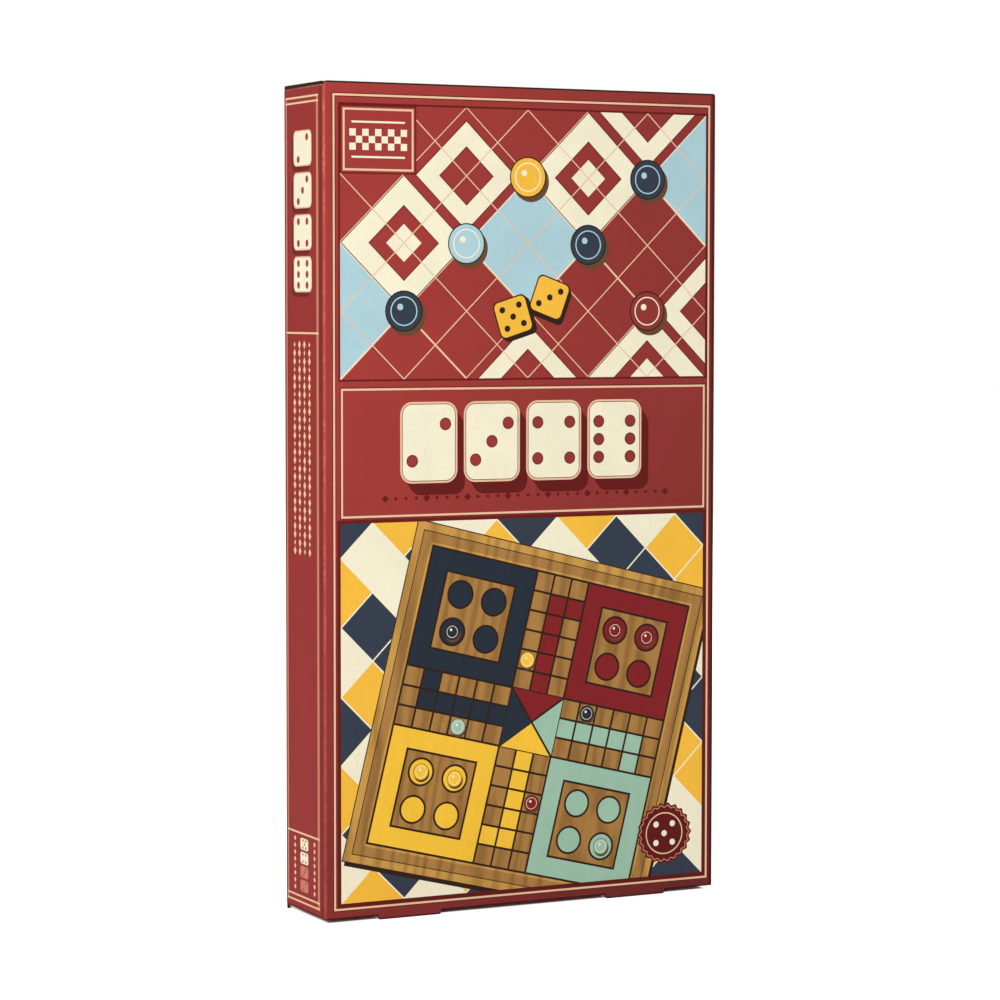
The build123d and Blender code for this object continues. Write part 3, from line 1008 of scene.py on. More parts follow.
class Graph:
    """Short way to add nodes to a material, a world or a node group."""

    def __init__(self, tree: bpy.types.NodeTree, material: Material | None = None) -> None:
        """Takes the node tree that is written, and the material that owns it."""
        self.tree, self.material = tree, material

    def feed(self, node: Node, inputs: dict) -> None:
        """Links or sets inputs of a node.

        Args:
            node: the node.
            inputs: sockets or values, by the name or the place of the input.
        """
        for name, value in inputs.items():
            if isinstance(value, Socket):
                self.tree.links.new(value, node.inputs[name])
            else:
                node.inputs[name].default_value = value

    def add(self, kind: str, inputs: dict | None = None, **settings: object) -> Node:
        """Adds a node.

        Args:
            kind: the node's type.
            inputs: sockets or values, by the name or the place of the input.
            settings: attributes of the node itself.

        Returns:
            The new node.
        """
        node = self.tree.nodes.new(kind)
        for name, value in settings.items():
            setattr(node, name, value)
        self.feed(node, inputs or {})
        return node

    def group(self, effect: "Effect", inputs: dict) -> bpy.types.bpy_prop_collection:
        """Adds a shared effect and returns its outputs."""
        return self.add("ShaderNodeGroup", inputs, node_tree=effect.tree()).outputs

    def math(self, operation: str, *values: object, clamp: bool = False) -> Socket:
        """Adds a Math node and returns its result."""
        node = self.add("ShaderNodeMath", dict(enumerate(values)), operation=operation, use_clamp=clamp)
        return node.outputs[0]

    def vector(self, operation: str, *values: object) -> Node:
        """Adds a Vector Math node."""
        return self.add("ShaderNodeVectorMath", dict(enumerate(values)), operation=operation)

    def weighted(self, *parts: tuple[Socket, float], level: float = 0.0) -> Socket:
        """Adds up values, each times its weight.

        Args:
            parts: each value with its weight.
            level: what is added to them.

        Returns:
            The sum.
        """
        total, *others = [self.math("MULTIPLY", value, weight) for value, weight in parts]
        for share in others:
            total = self.math("ADD", total, share)
        return self.math("ADD", total, level) if level else total

    def span(self, value: object, low: float, high: float, to_low: float = 0.0,
             to_high: float = 1.0) -> Socket:
        """Adds a smooth Map Range node and returns its result."""
        return self.add("ShaderNodeMapRange", {0: value, 1: low, 2: high, 3: to_low, 4: to_high},
                        interpolation_type="SMOOTHSTEP").outputs[0]

    def mix(self, share: object, first: object, second: object, blend: str = "MIX") -> Socket:
        """Adds a colour Mix node and returns its result."""
        node = self.add("ShaderNodeMix", {0: share, 6: first, 7: second}, data_type="RGBA", blend_type=blend)
        return node.outputs[2]

    def noise(self, vector: object, scale: float, detail: float = 3.0, rough: float = 0.55) -> Socket:
        """Adds a Noise Texture node and returns its value."""
        return self.add("ShaderNodeTexNoise", {"Vector": vector, "Scale": scale, "Detail": detail,
                                               "Roughness": rough}).outputs["Fac"]

    def stretched(self, place: Socket, scale: Triple, turn: Triple = (0.0, 0.0, 0.0)) -> Socket:
        """Adds a Mapping node that scales and turns a pattern, and returns its result."""
        return self.add("ShaderNodeMapping", {"Vector": place, "Rotation": turn, "Scale": scale}).outputs[0]


class Kind(Enum):
    """Kinds of a node group's sockets."""

    VALUE = "NodeSocketFloat"
    VECTOR = "NodeSocketVector"
    COLOUR = "NodeSocketColor"


@dataclass(frozen=True)
class Effect:
    """A node group that several finishes share: its sockets, and what draws its nodes."""

    name: str
    draw: Callable[[Graph, bpy.types.bpy_prop_collection], dict[str, Socket]]
    inputs: dict[str, tuple[Kind, object]]
    outputs: dict[str, Kind]

    def tree(self) -> bpy.types.NodeTree:
        """Builds the node group, once.

        Returns:
            The node group.
        """
        if self.name in bpy.data.node_groups:
            return bpy.data.node_groups[self.name]
        tree = bpy.data.node_groups.new(self.name, "ShaderNodeTree")
        for label, (kind, value) in self.inputs.items():
            socket = tree.interface.new_socket(name=label, in_out="INPUT", socket_type=kind.value)
            if value is not None:
                socket.default_value = value
        for label, kind in self.outputs.items():
            tree.interface.new_socket(name=label, in_out="OUTPUT", socket_type=kind.value)
        entry, end = tree.nodes.new("NodeGroupInput"), tree.nodes.new("NodeGroupOutput")
        graph = Graph(tree)
        graph.feed(end, self.draw(graph, entry.outputs))
        return tree


def draw_fibre(graph: Graph, entry: bpy.types.bpy_prop_collection) -> dict[str, Socket]:
    """Draws fine paper fibres, slow mottling and the tooth of the sheet.

    Args:
        graph: the group's graph.
        entry: the group's inputs.

    Returns:
        The socket for each output.
    """
    place = entry["Place"]
    fine, slow = graph.noise(place, 2600.0, 2.0, 0.6), graph.noise(place, 55.0, 3.0, 0.5)
    streak = graph.noise(graph.stretched(place, (1900.0, 1900.0, 700.0)), 1.0, 1.0)
    both = graph.weighted((fine, 0.5), (streak, 0.5))
    tint = graph.math("ADD", graph.span(both, 0.3, 0.7, -0.5, 0.5), graph.span(slow, 0.3, 0.7, -0.4, 0.4))
    return {"Tint": graph.math("MULTIPLY", tint, entry["Amount"]), "Height": both}


def draw_wear_and_highlight(graph: Graph, entry: bpy.types.bpy_prop_collection) -> dict[str, Socket]:
    """Draws lighter folds, partly rubbed wear and partly painted highlight, and a few fine scuffs.

    Args:
        graph: the group's graph.
        entry: the group's inputs.

    Returns:
        The socket for each output.
    """
    place, amount = entry["Place"], entry["Amount"]
    rough, long = graph.noise(place, 420.0, 5.0, 0.7), graph.noise(place, 60.0, 2.0)
    broken = graph.math("MULTIPLY", graph.span(rough, 0.38, 0.66), graph.span(long, 0.3, 0.62))
    # lightening along the folds: partly rubbed wear, partly painted highlight
    fold = graph.math("MULTIPLY", entry["Fold"], graph.math("ADD", broken, 0.35), clamp=True)
    drawn = graph.stretched(place, (30.0, 900.0, 900.0), (0.3, 0.7, 0.2))
    scratch = graph.span(graph.noise(drawn, 1.0, 2.0), 0.76, 0.8)
    scuff = graph.math("MULTIPLY", scratch, graph.span(graph.noise(place, 18.0, 2.0), 0.55, 0.7))
    return {"Rub": graph.math("MULTIPLY", fold, amount), "Scuff": graph.math("MULTIPLY", scuff, amount)}


def draw_grain(graph: Graph, entry: bpy.types.bpy_prop_collection) -> dict[str, Socket]:
    """Draws growth rings along the grain, pores and slow changes of colour.

    Args:
        graph: the group's graph.
        entry: the group's inputs.

    Returns:
        The socket for each output.
    """
    place, dark = entry["Place"], entry["Dark"]
    wander = graph.add("ShaderNodeTexNoise", {"Vector": place, "Scale": 9.0, "Detail": 2.0})
    warp = graph.vector("MULTIPLY", wander.outputs["Color"], (0.09, 0.09, 0.09)).outputs[0]
    bent = graph.vector("ADD", place, warp).outputs[0]
    rings = graph.add("ShaderNodeTexWave", {"Vector": bent, "Scale": entry["Pitch"], "Distortion": 6.0,
                                            "Detail": 3.0, "Detail Scale": 1.4},
                      bands_direction="DIAGONAL", wave_profile="SIN")
    line = graph.math("POWER", rings.outputs["Fac"], 1.8)
    pore = graph.span(graph.noise(place, 330.0, 3.0, 0.7), 0.52, 0.72)
    shade = graph.weighted((line, 0.55), (graph.noise(place, 6.0, 2.0), 0.45))
    wood = graph.mix(shade, entry["Light"], dark)
    pored = graph.mix(graph.math("MULTIPLY", pore, 0.45), wood, dark, "MULTIPLY")
    return {"Colour": pored, "Shade": shade, "Height": graph.weighted((line, -0.3), (pore, -0.7))}


def draw_handling(graph: Graph, entry: bpy.types.bpy_prop_collection) -> dict[str, Socket]:
    """Draws dull finger patches and fine rubbed lines in a gloss.

    Args:
        graph: the group's graph.
        entry: the group's inputs.

    Returns:
        The socket for each output.
    """
    patch = graph.span(graph.noise(entry["Place"], 70.0, 3.0), 0.42, 0.68)
    return {"Dull": graph.weighted((patch, 0.7), (graph.noise(entry["Place"], 1500.0, 2.0, 0.7), 0.3))}


FIBRE = Effect("paper_fibre", draw_fibre, {"Place": (Kind.VECTOR, None), "Amount": (Kind.VALUE, 0.1)},
               {"Tint": Kind.VALUE, "Height": Kind.VALUE})
WEAR_AND_HIGHLIGHT = Effect("fold_wear_and_highlight", draw_wear_and_highlight,
              {"Place": (Kind.VECTOR, None), "Fold": (Kind.VALUE, 0.0), "Amount": (Kind.VALUE, 1.0)},
              {"Rub": Kind.VALUE, "Scuff": Kind.VALUE})
GRAIN = Effect("wood_grain", draw_grain,
               {"Place": (Kind.VECTOR, None), "Pitch": (Kind.VALUE, 34.0), "Light": (Kind.COLOUR, None),
                "Dark": (Kind.COLOUR, None)},
               {"Colour": Kind.COLOUR, "Shade": Kind.VALUE, "Height": Kind.VALUE})
HANDLING = Effect("handling_marks", draw_handling, {"Place": (Kind.VECTOR, None)}, {"Dull": Kind.VALUE})


@dataclass(frozen=True)
class Finish:
    """What every finish shares: a material with one Principled shader."""

    name: str

    def start(self) -> tuple[Graph, Node, Socket]:
        """Makes the material.

        Returns:
            Its graph, its shader and the socket with the place on the piece, in metres.
        """
        material = bpy.data.materials.new(self.name)
        material.use_nodes = True
        graph = Graph(material.node_tree, material)
        shader = material.node_tree.nodes["Principled BSDF"]
        return graph, shader, graph.add("ShaderNodeTexCoord").outputs["Object"]

    def sealed(self, graph: Graph, shader: Node, inputs: dict, height: Socket, depth: float) -> Material:
        """Feeds the shader.

        Args:
            graph: the material's graph.
            shader: its shader.
            inputs: sockets or values for the shader's inputs, by name.
            height: relief of the surface, in shares of its depth.
            depth: depth of the relief in millimetres.

        Returns:
            The material.
        """
        bump = graph.add("ShaderNodeBump", {"Height": height, "Distance": depth * MM})
        graph.feed(shader, {**inputs, "Normal": bump.outputs[0]})
        return graph.material

    def toned(self, graph: Graph, colour: object, tint: Socket) -> Socket:
        """Lightens and darkens a colour with the fibres of its sheet."""
        return graph.add("ShaderNodeVectorMath", {0: colour, "Scale": graph.math("ADD", tint, 1.0)},
                         operation="SCALE").outputs[0]

    def grain_place(self, graph: Graph, place: Socket, axis: int, offset: float, stretch: float,
                    turn: float = 0.0) -> Socket:
        """Draws the wood's pattern out along the grain.

        Args:
            graph: the material's graph.
            place: the place on the piece.
            axis: the grain's axis, 0 for X to 2 for Z.
            offset: where in the pattern the piece lies.
            stretch: how many times longer the pattern is along the grain.
            turn: angle of the grain about the Y axis, in degrees.

        Returns:
            The place in the pattern.
        """
        scale = [1.0, 1.0, 1.0]
        scale[axis] = stretch
        drawn = graph.add("ShaderNodeMapping", {"Vector": place, "Scale": scale,
                                                "Rotation": (0.0, math.radians(turn), 0.0),
                                                "Location": (offset, 0.37 * offset, 0.61 * offset)},
                          vector_type="TEXTURE")
        return drawn.outputs[0]


@dataclass(frozen=True)
class PrintedSheet(Finish):
    """Offset print under satin varnish. Its inks come from the mesh, as flat colours of faces."""

    fibre: float = 0.07
    wear_and_highlight_amount: float = 0.8
    scuffed: float = 0.35
    # colour of rubbed folds and scuffs: worn-through paper, and on the folds also painted highlight
    paper: str = "#d8806c"
    # strength of the painted shade on the ground, darker towards the lower right corner
    painted_shade: float = 0.0
    painted_shade_tint: Triple = (0.42, 0.57, 0.6)
    grain_turn: float = 0.0
    grain_pitch: float = 75.0
    grain_light: Triple = (1.35, 1.3, 1.2)
    grain_dark: Triple = (0.62, 0.55, 0.48)
    shine: float = 0.03
    roughness: float = 0.5

    def shaded(self, graph: Graph, place: Socket, colour: Socket) -> Socket:
        """Paints shade into the ground ink, darker towards the sheet's lower right corner.

        Args:
            graph: the material's graph.
            place: the place on the piece.
            colour: colour of the inks.

        Returns:
            The shaded colour.
        """
        spot = graph.add("ShaderNodeSeparateXYZ", {0: place}).outputs
        across = graph.span(spot[0], -0.08, 0.08, 0.0, 0.4)
        down = graph.span(spot[2], 0.2, 0.0, 0.0, 0.6)
        marked = graph.add("ShaderNodeAttribute", attribute_name="shading").outputs["Fac"]
        share = graph.math("MULTIPLY", graph.math("ADD", across, down), marked)
        dark = graph.mix(1.0, colour, (*self.painted_shade_tint, 1.0), "MULTIPLY")
        return graph.mix(graph.math("MULTIPLY", share, self.painted_shade), colour, dark)

    def make(self) -> Material:
        """Builds the material.

        Returns:
            The material.
        """
        graph, shader, place = self.start()
        inks = graph.add("ShaderNodeVertexColor", layer_name="ink").outputs
        fold = graph.add("ShaderNodeAttribute", attribute_name="fold").outputs["Fac"]
        fibre = graph.group(FIBRE, {"Place": place, "Amount": self.fibre})
        wear_and_highlight = graph.group(WEAR_AND_HIGHLIGHT, {"Place": place, "Fold": fold, "Amount": self.wear_and_highlight_amount})
        drawn = self.grain_place(graph, place, 2, 0.11, 5.0, self.grain_turn)
        light, dark = (*self.grain_light, 1.0), (*self.grain_dark, 1.0)
        grain = graph.group(GRAIN, {"Place": drawn, "Pitch": self.grain_pitch, "Light": light, "Dark": dark})
        wood = graph.mix(1.0, inks["Color"], grain["Colour"], "MULTIPLY")
        # painted shade: the ground ink is darkened towards the lower right corner
        print_colour = graph.mix(inks["Alpha"], self.shaded(graph, place, inks["Color"]), wood)
        scuff = graph.math("MULTIPLY", wear_and_highlight["Scuff"], self.scuffed)
        # folds lightened towards the paper colour, partly wear and partly painted highlight; scuffs are wear
        rubbed_and_highlit = graph.mix(graph.math("ADD", wear_and_highlight["Rub"], scuff, clamp=True),
                           self.toned(graph, print_colour, fibre["Tint"]), opaque(self.paper))
        rough = graph.weighted((fibre["Tint"], 0.6), (wear_and_highlight["Rub"], 0.25), level=self.roughness)
        return self.sealed(graph, shader, {"Base Color": rubbed_and_highlit, "Roughness": rough,
                                           "Specular IOR Level": self.shine}, fibre["Height"], 0.012)


@dataclass(frozen=True)
class FlapPrint(Finish):
    """Print on one side of a flap, raw board on its other side and pale cut edges."""

    outside: Triple = (0.0, 0.0, 1.0)
    ink: Ink = Ink.CRIMSON
    board: str = "#b9ab97"
    cut: str = "#d9cfbf"
    fibre: float = 0.12

    def make(self) -> Material:
        """Builds the material.

        Returns:
            The material.
        """
        graph, shader, place = self.start()
        normal = graph.add("ShaderNodeTexCoord").outputs["Normal"]
        facing = graph.vector("DOT_PRODUCT", normal, self.outside).outputs["Value"]
        printed = graph.span(facing, 0.5, 0.7)
        inside = graph.span(facing, -0.7, -0.5, 1.0, 0.0)
        fibre = graph.group(FIBRE, {"Place": place, "Amount": self.fibre})
        bare = graph.mix(inside, opaque(self.cut), opaque(self.board))
        colour = graph.mix(printed, bare, (*self.ink.rgba[:3], 1.0))
        return self.sealed(graph, shader, {"Base Color": self.toned(graph, colour, fibre["Tint"]),
                                           "Roughness": graph.span(printed, 0.0, 1.0, 0.85, 0.45)},
                           fibre["Height"], 0.02)


@dataclass(frozen=True)
class RawBoard(Finish):
    """Uncoated carton board or paper, with fibres."""

    colour: str = "#b9ab97"
    fibre: float = 0.16
    shine: float = 0.12
    roughness: float = 0.88

    def make(self) -> Material:
        """Builds the material.

        Returns:
            The material.
        """
        graph, shader, place = self.start()
        fibre = graph.group(FIBRE, {"Place": place, "Amount": self.fibre})
        return self.sealed(graph, shader, {
            "Base Color": self.toned(graph, linear(self.colour), fibre["Tint"]),
            "Roughness": graph.weighted((fibre["Tint"], 0.3), level=self.roughness),
            "Specular IOR Level": self.shine}, fibre["Height"], 0.03)


@dataclass(frozen=True)
class Timber(Finish):
    """Stained and lacquered wood, with its grain along one axis."""

    axis: int = 2
    offset: float = 0.0
    light: str = "#b07a44"
    dark: str = "#6a3f1f"
    roughness: float = 0.38

    def make(self) -> Material:
        """Builds the material.

        Returns:
            The material.
        """
        graph, shader, place = self.start()
        drawn = self.grain_place(graph, place, self.axis, self.offset, 9.0)
        grain = graph.group(GRAIN, {"Place": drawn, "Light": opaque(self.light), "Dark": opaque(self.dark)})
        dull = graph.group(HANDLING, {"Place": place})["Dull"]
        return self.sealed(graph, shader, {
            "Base Color": self.marked(graph, place, grain["Colour"]),
            "Roughness": graph.weighted((grain["Shade"], 0.1), (dull, 0.16), level=self.roughness)},
            grain["Height"], 0.08)

    def marked(self, graph: Graph, place: Socket, wood: Socket) -> Socket:
        """Adds the marks that a piece has on its wood, which here are none."""
        return wood


@dataclass(frozen=True)
class DieWood(Timber):
    """Plain wood whose drilled pips are stained dark."""

    centre: Triple = (0.0, 0.0, 0.0)
    half: float = 7.0
    skin: Point = (0.12, 0.05)
    corner_reach: Point = (1.34, 1.36)
    stain: str = "#2b1b14"

    def marked(self, graph: Graph, place: Socket, wood: Socket) -> Socket:
        """Stains what lies under a face, apart from the die's rounded corners.

        Args:
            graph: the material's graph.
            place: the place on the piece.
            wood: colour of the wood.

        Returns:
            The colour with its stained pips.
        """
        local = graph.vector("SUBTRACT", place, self.centre).outputs[0]
        sides = graph.add("ShaderNodeSeparateXYZ", {0: graph.vector("ABSOLUTE", local).outputs[0]}).outputs
        face = graph.math("MAXIMUM", sides[0], graph.math("MAXIMUM", sides[1], sides[2]))
        reach = graph.vector("LENGTH", local).outputs["Value"]
        drilled = graph.span(face, *((self.half - depth) * MM for depth in self.skin), 1.0, 0.0)
        inner = graph.span(reach, *(self.half * share * MM for share in self.corner_reach), 1.0, 0.0)
        return graph.mix(graph.math("MULTIPLY", drilled, inner), wood, opaque(self.stain))


@dataclass(frozen=True)
class GlossPaint(Finish):
    """Dipped gloss paint, thin enough to show a hint of the wood under it."""

    colour: str = "#8e1f1d"
    depth: float = 0.72
    wood: float = 0.35
    roughness: float = 0.2
    coat: float = 0.4
    coat_roughness: float = 0.12

    def make(self) -> Material:
        """Builds the material.

        Returns:
            The material.
        """
        graph, shader, place = self.start()
        base, deep = opaque(self.colour), (*[c * self.depth for c in linear(self.colour)], 1.0)
        drawn = self.grain_place(graph, place, 2, 0.4, 8.0)
        grain = graph.group(GRAIN, {"Place": drawn, "Light": base, "Dark": deep})
        dull = graph.group(HANDLING, {"Place": place})["Dull"]
        return self.sealed(graph, shader, {
            "Base Color": graph.mix(self.wood, base, grain["Colour"]),
            "Roughness": graph.weighted((dull, 0.22), level=self.roughness),
            "Coat Weight": self.coat, "Coat Roughness": self.coat_roughness}, grain["Height"], 0.02)


@dataclass(frozen=True)
class Brass(Finish):
    """Stamped brass: brushed, lightly tarnished, brighter where it is handled."""

    bright: str = "#d9b263"
    tarnish: str = "#8a6531"
    roughness: float = 0.2

    def make(self) -> Material:
        """Builds the material.

        Returns:
            The material.
        """
        graph, shader, place = self.start()
        dull = graph.group(HANDLING, {"Place": place})["Dull"]
        lines = graph.noise(graph.stretched(place, (2500.0, 2500.0, 160.0)), 1.0, 2.0)
        share = graph.math("MULTIPLY", dull, 0.6)
        return self.sealed(graph, shader, {
            "Base Color": graph.mix(share, opaque(self.bright), opaque(self.tarnish)),
            "Roughness": graph.weighted((lines, 0.12), (dull, 0.2), level=self.roughness),
            "Metallic": 1.0}, lines, 0.01)


@dataclass(frozen=True)
class Wall:
    """One upright wall of the carton: where it stands, and how its print folds round its edges."""

    name: str
    node: str
    half: float
    face: float
    turn: float
    low: float
    high: float
    carton_height: float
    creased: bool = True
    board: float = 1.2
    slack: float = 0.03
    fold_radius: float = 1.0
    crease_radius: float = 0.7
    fold_steps: int = 4
    # the folds' lightening is weaker near the floor: painted highlight, brighter higher up, together with
    # wear
    wear_and_highlight_at_foot: float = 0.3

    @property
    def flat(self) -> float:
        """Half the width of the wall's flat part."""
        return self.half - self.fold_radius

    @property
    def bend(self) -> float:
        """Developed width of the wall's half of a rounded fold."""
        return self.fold_radius * math.pi / 4

    @property
    def reach(self) -> float:
        """Half the developed width, up to the middle of the rounded folds."""
        return self.flat + self.bend

    @property
    def crease_reach(self) -> float:
        """How much a rounded crease adds to the developed height."""
        return self.crease_radius * (math.pi / 2 - 1)

    def ground(self, ink: Ink = Ink.CRIMSON) -> Artwork:
        """Bare print of a wall with two rounded creases."""
        extra = self.crease_reach
        return Artwork(Window(-self.reach, self.low - extra, self.reach, self.high + extra).corners, ink)

    def path(self) -> Callable[[float, float, float], Vector]:
        """Makes the function that folds the flat print round the wall.

        Returns:
            A function of the place across, the place along and the depth under the print.
        """
        flat, radius, crease = self.flat, self.fold_radius, self.crease_radius
        spin = Matrix.Rotation(math.radians(self.turn), 3, "Z")

        def place(across: float, along: float, depth: float) -> Vector:
            """Finds where a point of the print, or of the raw side behind it, lies.

            Args:
                across: its place across the flat print.
                along: its place along the flat print.
                depth: its depth under the print, which is 0 or the board's thickness.

            Returns:
                Its place on the carton.
            """
            over = max(abs(across) - flat, 0.0) / radius
            x = min(abs(across), flat) + radius * math.sin(over)
            sink, z = radius * (1 - math.cos(over)), along
            for limit, sign in ((self.low, -1), (self.high, 1)):
                bend = (sign * (along - limit) + crease) / crease
                if self.creased and bend > 0:
                    z = limit - sign * crease * (1 - math.sin(bend))
                    sink += crease * (1 - math.cos(bend))
            if depth:
                x, sink = min(abs(across), self.half - self.board), depth
            return spin @ Vector((math.copysign(x, across), sink - self.face, z))

        return place

    def fold_share(self, across: float, along: float) -> float:
        """How near a point is to the middle of a fold, and so how much it is lightened: partly wear, partly
        painted highlight, weaker near the floor.

        Args:
            across: its place across the flat print.
            along: its place along the flat print.

        Returns:
            From 0 to 1.
        """
        near = max(abs(across) - self.flat, 0.0) / self.bend
        if self.creased:
            for past in (self.low - along, along - self.high):
                near = max(near, (past + self.crease_radius) / self.crease_radius)
        foot = self.wear_and_highlight_at_foot
        return min(max(near, 0.0), 1.0) * (foot + (1 - foot) * along / self.carton_height)

    def sheet(self, art: Artwork) -> FoldedSheet:
        """Puts a print on the wall.

        Args:
            art: the print.

        Returns:
            The folded sheet.
        """
        steps = range(self.fold_steps)
        across = [side * (self.flat + self.bend * k / self.fold_steps) for k in steps for side in (-1, 1)]
        rises = [self.crease_radius * (math.pi / 2 * k / self.fold_steps - 1) for k in steps]
        along = [self.low - s for s in rises] + [self.high + s for s in rises] if self.creased else []
        return FoldedSheet(self.name, art, self.board - self.slack, self.path(), across, along,
                           self.fold_share)


@dataclass
class Carton:
    """The printed folding carton: four walls, a tuck lid, dust flaps and the locked bottom."""

    board: float = Wall.board
    line: float = 0.7
    fine_line: float = 0.35
    tuck_inset: float = 3.2
    tuck_tilt: float = 12.0
    tuck_corner: float = 6.0
    tuck_step: float = 0.55
    tongue_y: float = -16.5
    nose_share: float = 0.8
    nose_steps: int = 6
    # reach of the lightening round the lid's nose: wear and painted highlight
    nose_wear_and_highlight: float = 0.3
    lid_border: tuple[float, float, float] = (3.4, 3.0, 3.2)
    lock_width: float = 24.9
    lock_spacing: float = 93.0
    lip_drop: float = 1.4
    lip_corner: float = 0.8
    side_drop: float = 1.3
    top_corner: float = 1.3
    dark_edge_line: float = 0.6
    fold_shade_margin: float = 2.1
    fold_shade_width: float = 1.4
    picture_turn: float = 14.0
    border_side: float = 3.6
    border_foot: float = 2.8
    border_gap: float = 1.5
    back_panel: Window = Window(-60.0, 60.0, 60.0, 240.0)
    back_rim: float = 0.6
    back_step: float = 15.0
    back_hairline: float = 0.4
    back_diamond: float = 1.6
    flap_rounding: float = 0.12

    def __post_init__(self) -> None:
        """Reads the carton's overall size from the CAD parts and stands its walls."""
        half_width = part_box("right_panel")[1].x / MM
        half_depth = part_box("back_panel")[1].y / MM
        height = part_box("front_panel")[1].z / MM
        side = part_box("spine_panel")
        low, high = side[0].z / MM - self.side_drop, side[1].z / MM
        self.half_width, self.height = half_width, height
        self.front = Wall("printed_front", "front_panel", half_width, half_depth, 0, 0, height, height, False)
        self.spine = Wall("printed_spine", "spine_panel", half_depth, half_width, -90, low, high, height)
        self.right = Wall("printed_right_side", "right_panel", half_depth, half_width, 90, low, high, height)
        self.back = Wall("printed_back", "back_panel", half_width, half_depth, 180, 0, height, height)

    def front_outline(self) -> Outline:
        """Develops the front wall, with its rounded corners and the lips of the bottom lock.

        Returns:
            Its outline.
        """
        reach, lock, low, small = self.front.reach, self.lock_width / 2, self.lip_drop, self.lip_corner
        side, top, corner = reach - self.top_corner, self.height - self.top_corner, self.top_corner
        outline: Outline = [(-reach, low)]
        for x in (-self.lock_spacing / 2, self.lock_spacing / 2):
            outline += [(x - lock, low), *arc((x - lock + small, small), small, 180, 270, 5),
                        *arc((x + lock - small, small), small, 270, 360, 5), (x + lock, low)]
        return outline + [(reach, low), *arc((side, top), corner, 0, 90, 6),
                          *arc((-side, top), corner, 90, 180, 6)]

    def front_art(self) -> Artwork:
        """Prints the front, with painted shade along its right fold and dark lines along its top and lower
        edges.

        Returns:
            The print.
        """
        art = Artwork(self.front_outline(), Ink.CRIMSON)
        reach, edge_line, lock = self.front.reach, self.dark_edge_line, self.lock_width / 2
        # painted shade: two darker strips along the right fold, which turns away from the light
        art.block(Window(self.half_width - self.fold_shade_margin, 0.0, reach, self.height), Ink.SHADED_MARGIN_RED)
        art.block(Window(self.half_width - self.fold_shade_width, 0.0, reach, self.height), Ink.EDGE_RED)
        # a dark line along the top edge
        art.block(Window(-reach, self.height - edge_line, reach, self.height), Ink.DARK_LINE)
        stops = [-reach]
        for x in (-self.lock_spacing / 2, self.lock_spacing / 2):
            stops += [x - lock, x + lock]
            # dark lines along the lower edges of the lips and of the panel
            art.block(Window(x - lock, 0.0, x + lock, edge_line), Ink.EDGE_RED)
        stops.append(reach)
        for left, right in zip(stops[::2], stops[1::2]):
            art.block(Window(left, self.lip_drop, right, self.lip_drop + edge_line), Ink.EDGE_RED)
        FrontPrint(board_turn=self.picture_turn).draw(art)
        return art

    def spine_art(self) -> Artwork:
        """Prints the spine, with a dark line along its lower crease.

        Returns:
            The print.
        """
        wall = self.spine
        # the spine's ground is the crimson darkened as painted shade
        art = wall.ground(Ink.SHADED_SPINE_RED)
        # a dark line along the lower crease
        art.block(Window(-wall.reach, wall.low + wall.crease_reach, wall.reach,
                         wall.low + wall.crease_radius + self.dark_edge_line / 2), Ink.EDGE_RED)
        SpinePrint().draw(art)
        return art

    def plain_art(self, wall: Wall) -> Artwork:
        """Prints a plain wall: a ruled double border on the ground colour.

        Args:
            wall: the wall.

        Returns:
            The print.
        """
        art, side = wall.ground(), self.border_side
        outer = Window(-wall.half + side, wall.low + self.border_foot, wall.half - side, wall.high - side)
        art.rule(outer, self.line, Ink.WARM_LINE)
        art.rule(outer.grown(-self.border_gap), self.fine_line, Ink.DEEP_RED)
        return art

    def back_art(self) -> Artwork:
        """Prints the back: a ruled border, and a plain panel with a lattice of fine lines.

        Returns:
            The print.
        """
        art, panel, step = self.plain_art(self.back), self.back_panel, self.back_step
        width, height = panel.right - panel.left, panel.top - panel.bottom
        columns, rows = round(width / step), round(height / step)
        art.block(panel.grown(self.back_rim), Ink.WARM_LINE)
        art.block(panel, Ink.CRIMSON)
        art.window = panel
        for k in range(-rows, columns + rows + 1):
            x = panel.left + k * step
            for lean in (-1, 1):
                art.line((x, panel.bottom), (x + lean * height, panel.top), self.back_hairline, Ink.DEEP_RED)
        art.window = None
        for row in range(rows):
            for column in range(columns):
                centre = (panel.left + (column + 0.5) * step, panel.bottom + (row + 0.5) * step)
                ink = Ink.WARM_LINE if (row + column) % 2 else Ink.DEEP_RED
                art.diamond(centre, self.back_diamond, self.back_diamond, ink)
        return art

    def lid_sheet(self) -> FoldedSheet:
        """Folds the lid and its tuck tongue, as one sheet, over a rounded nose.

        Returns:
            The folded sheet.
        """
        low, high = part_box("lid")
        reach, back, top = high.x / MM, high.y / MM, high.z / MM
        nose, tilt = self.board * self.nose_share, math.radians(self.tuck_tilt)
        bend = math.pi / 2 + tilt
        top_length, curve = back - (self.tongue_y + nose), nose * bend
        drop = (top - nose * (1 + math.sin(tilt)) - low.z / MM) / math.cos(tilt)
        tuck, corner, end = self.half_width - self.tuck_inset, self.tuck_corner, top_length + curve + drop
        start = top_length + curve * self.tuck_step
        art = Artwork([(-reach, 0.0), (reach, 0.0), (reach, start), (tuck, start),
                       *arc((tuck - corner, end - corner), corner, 0, 90, 7),
                       *arc((corner - tuck, end - corner), corner, 90, 180, 7),
                       (-tuck, start), (-reach, start)], Ink.CRIMSON)
        side, root, front = self.lid_border
        art.rule(Window(-reach + side, root, reach - side, top_length - front), self.line, Ink.WARM_LINE)

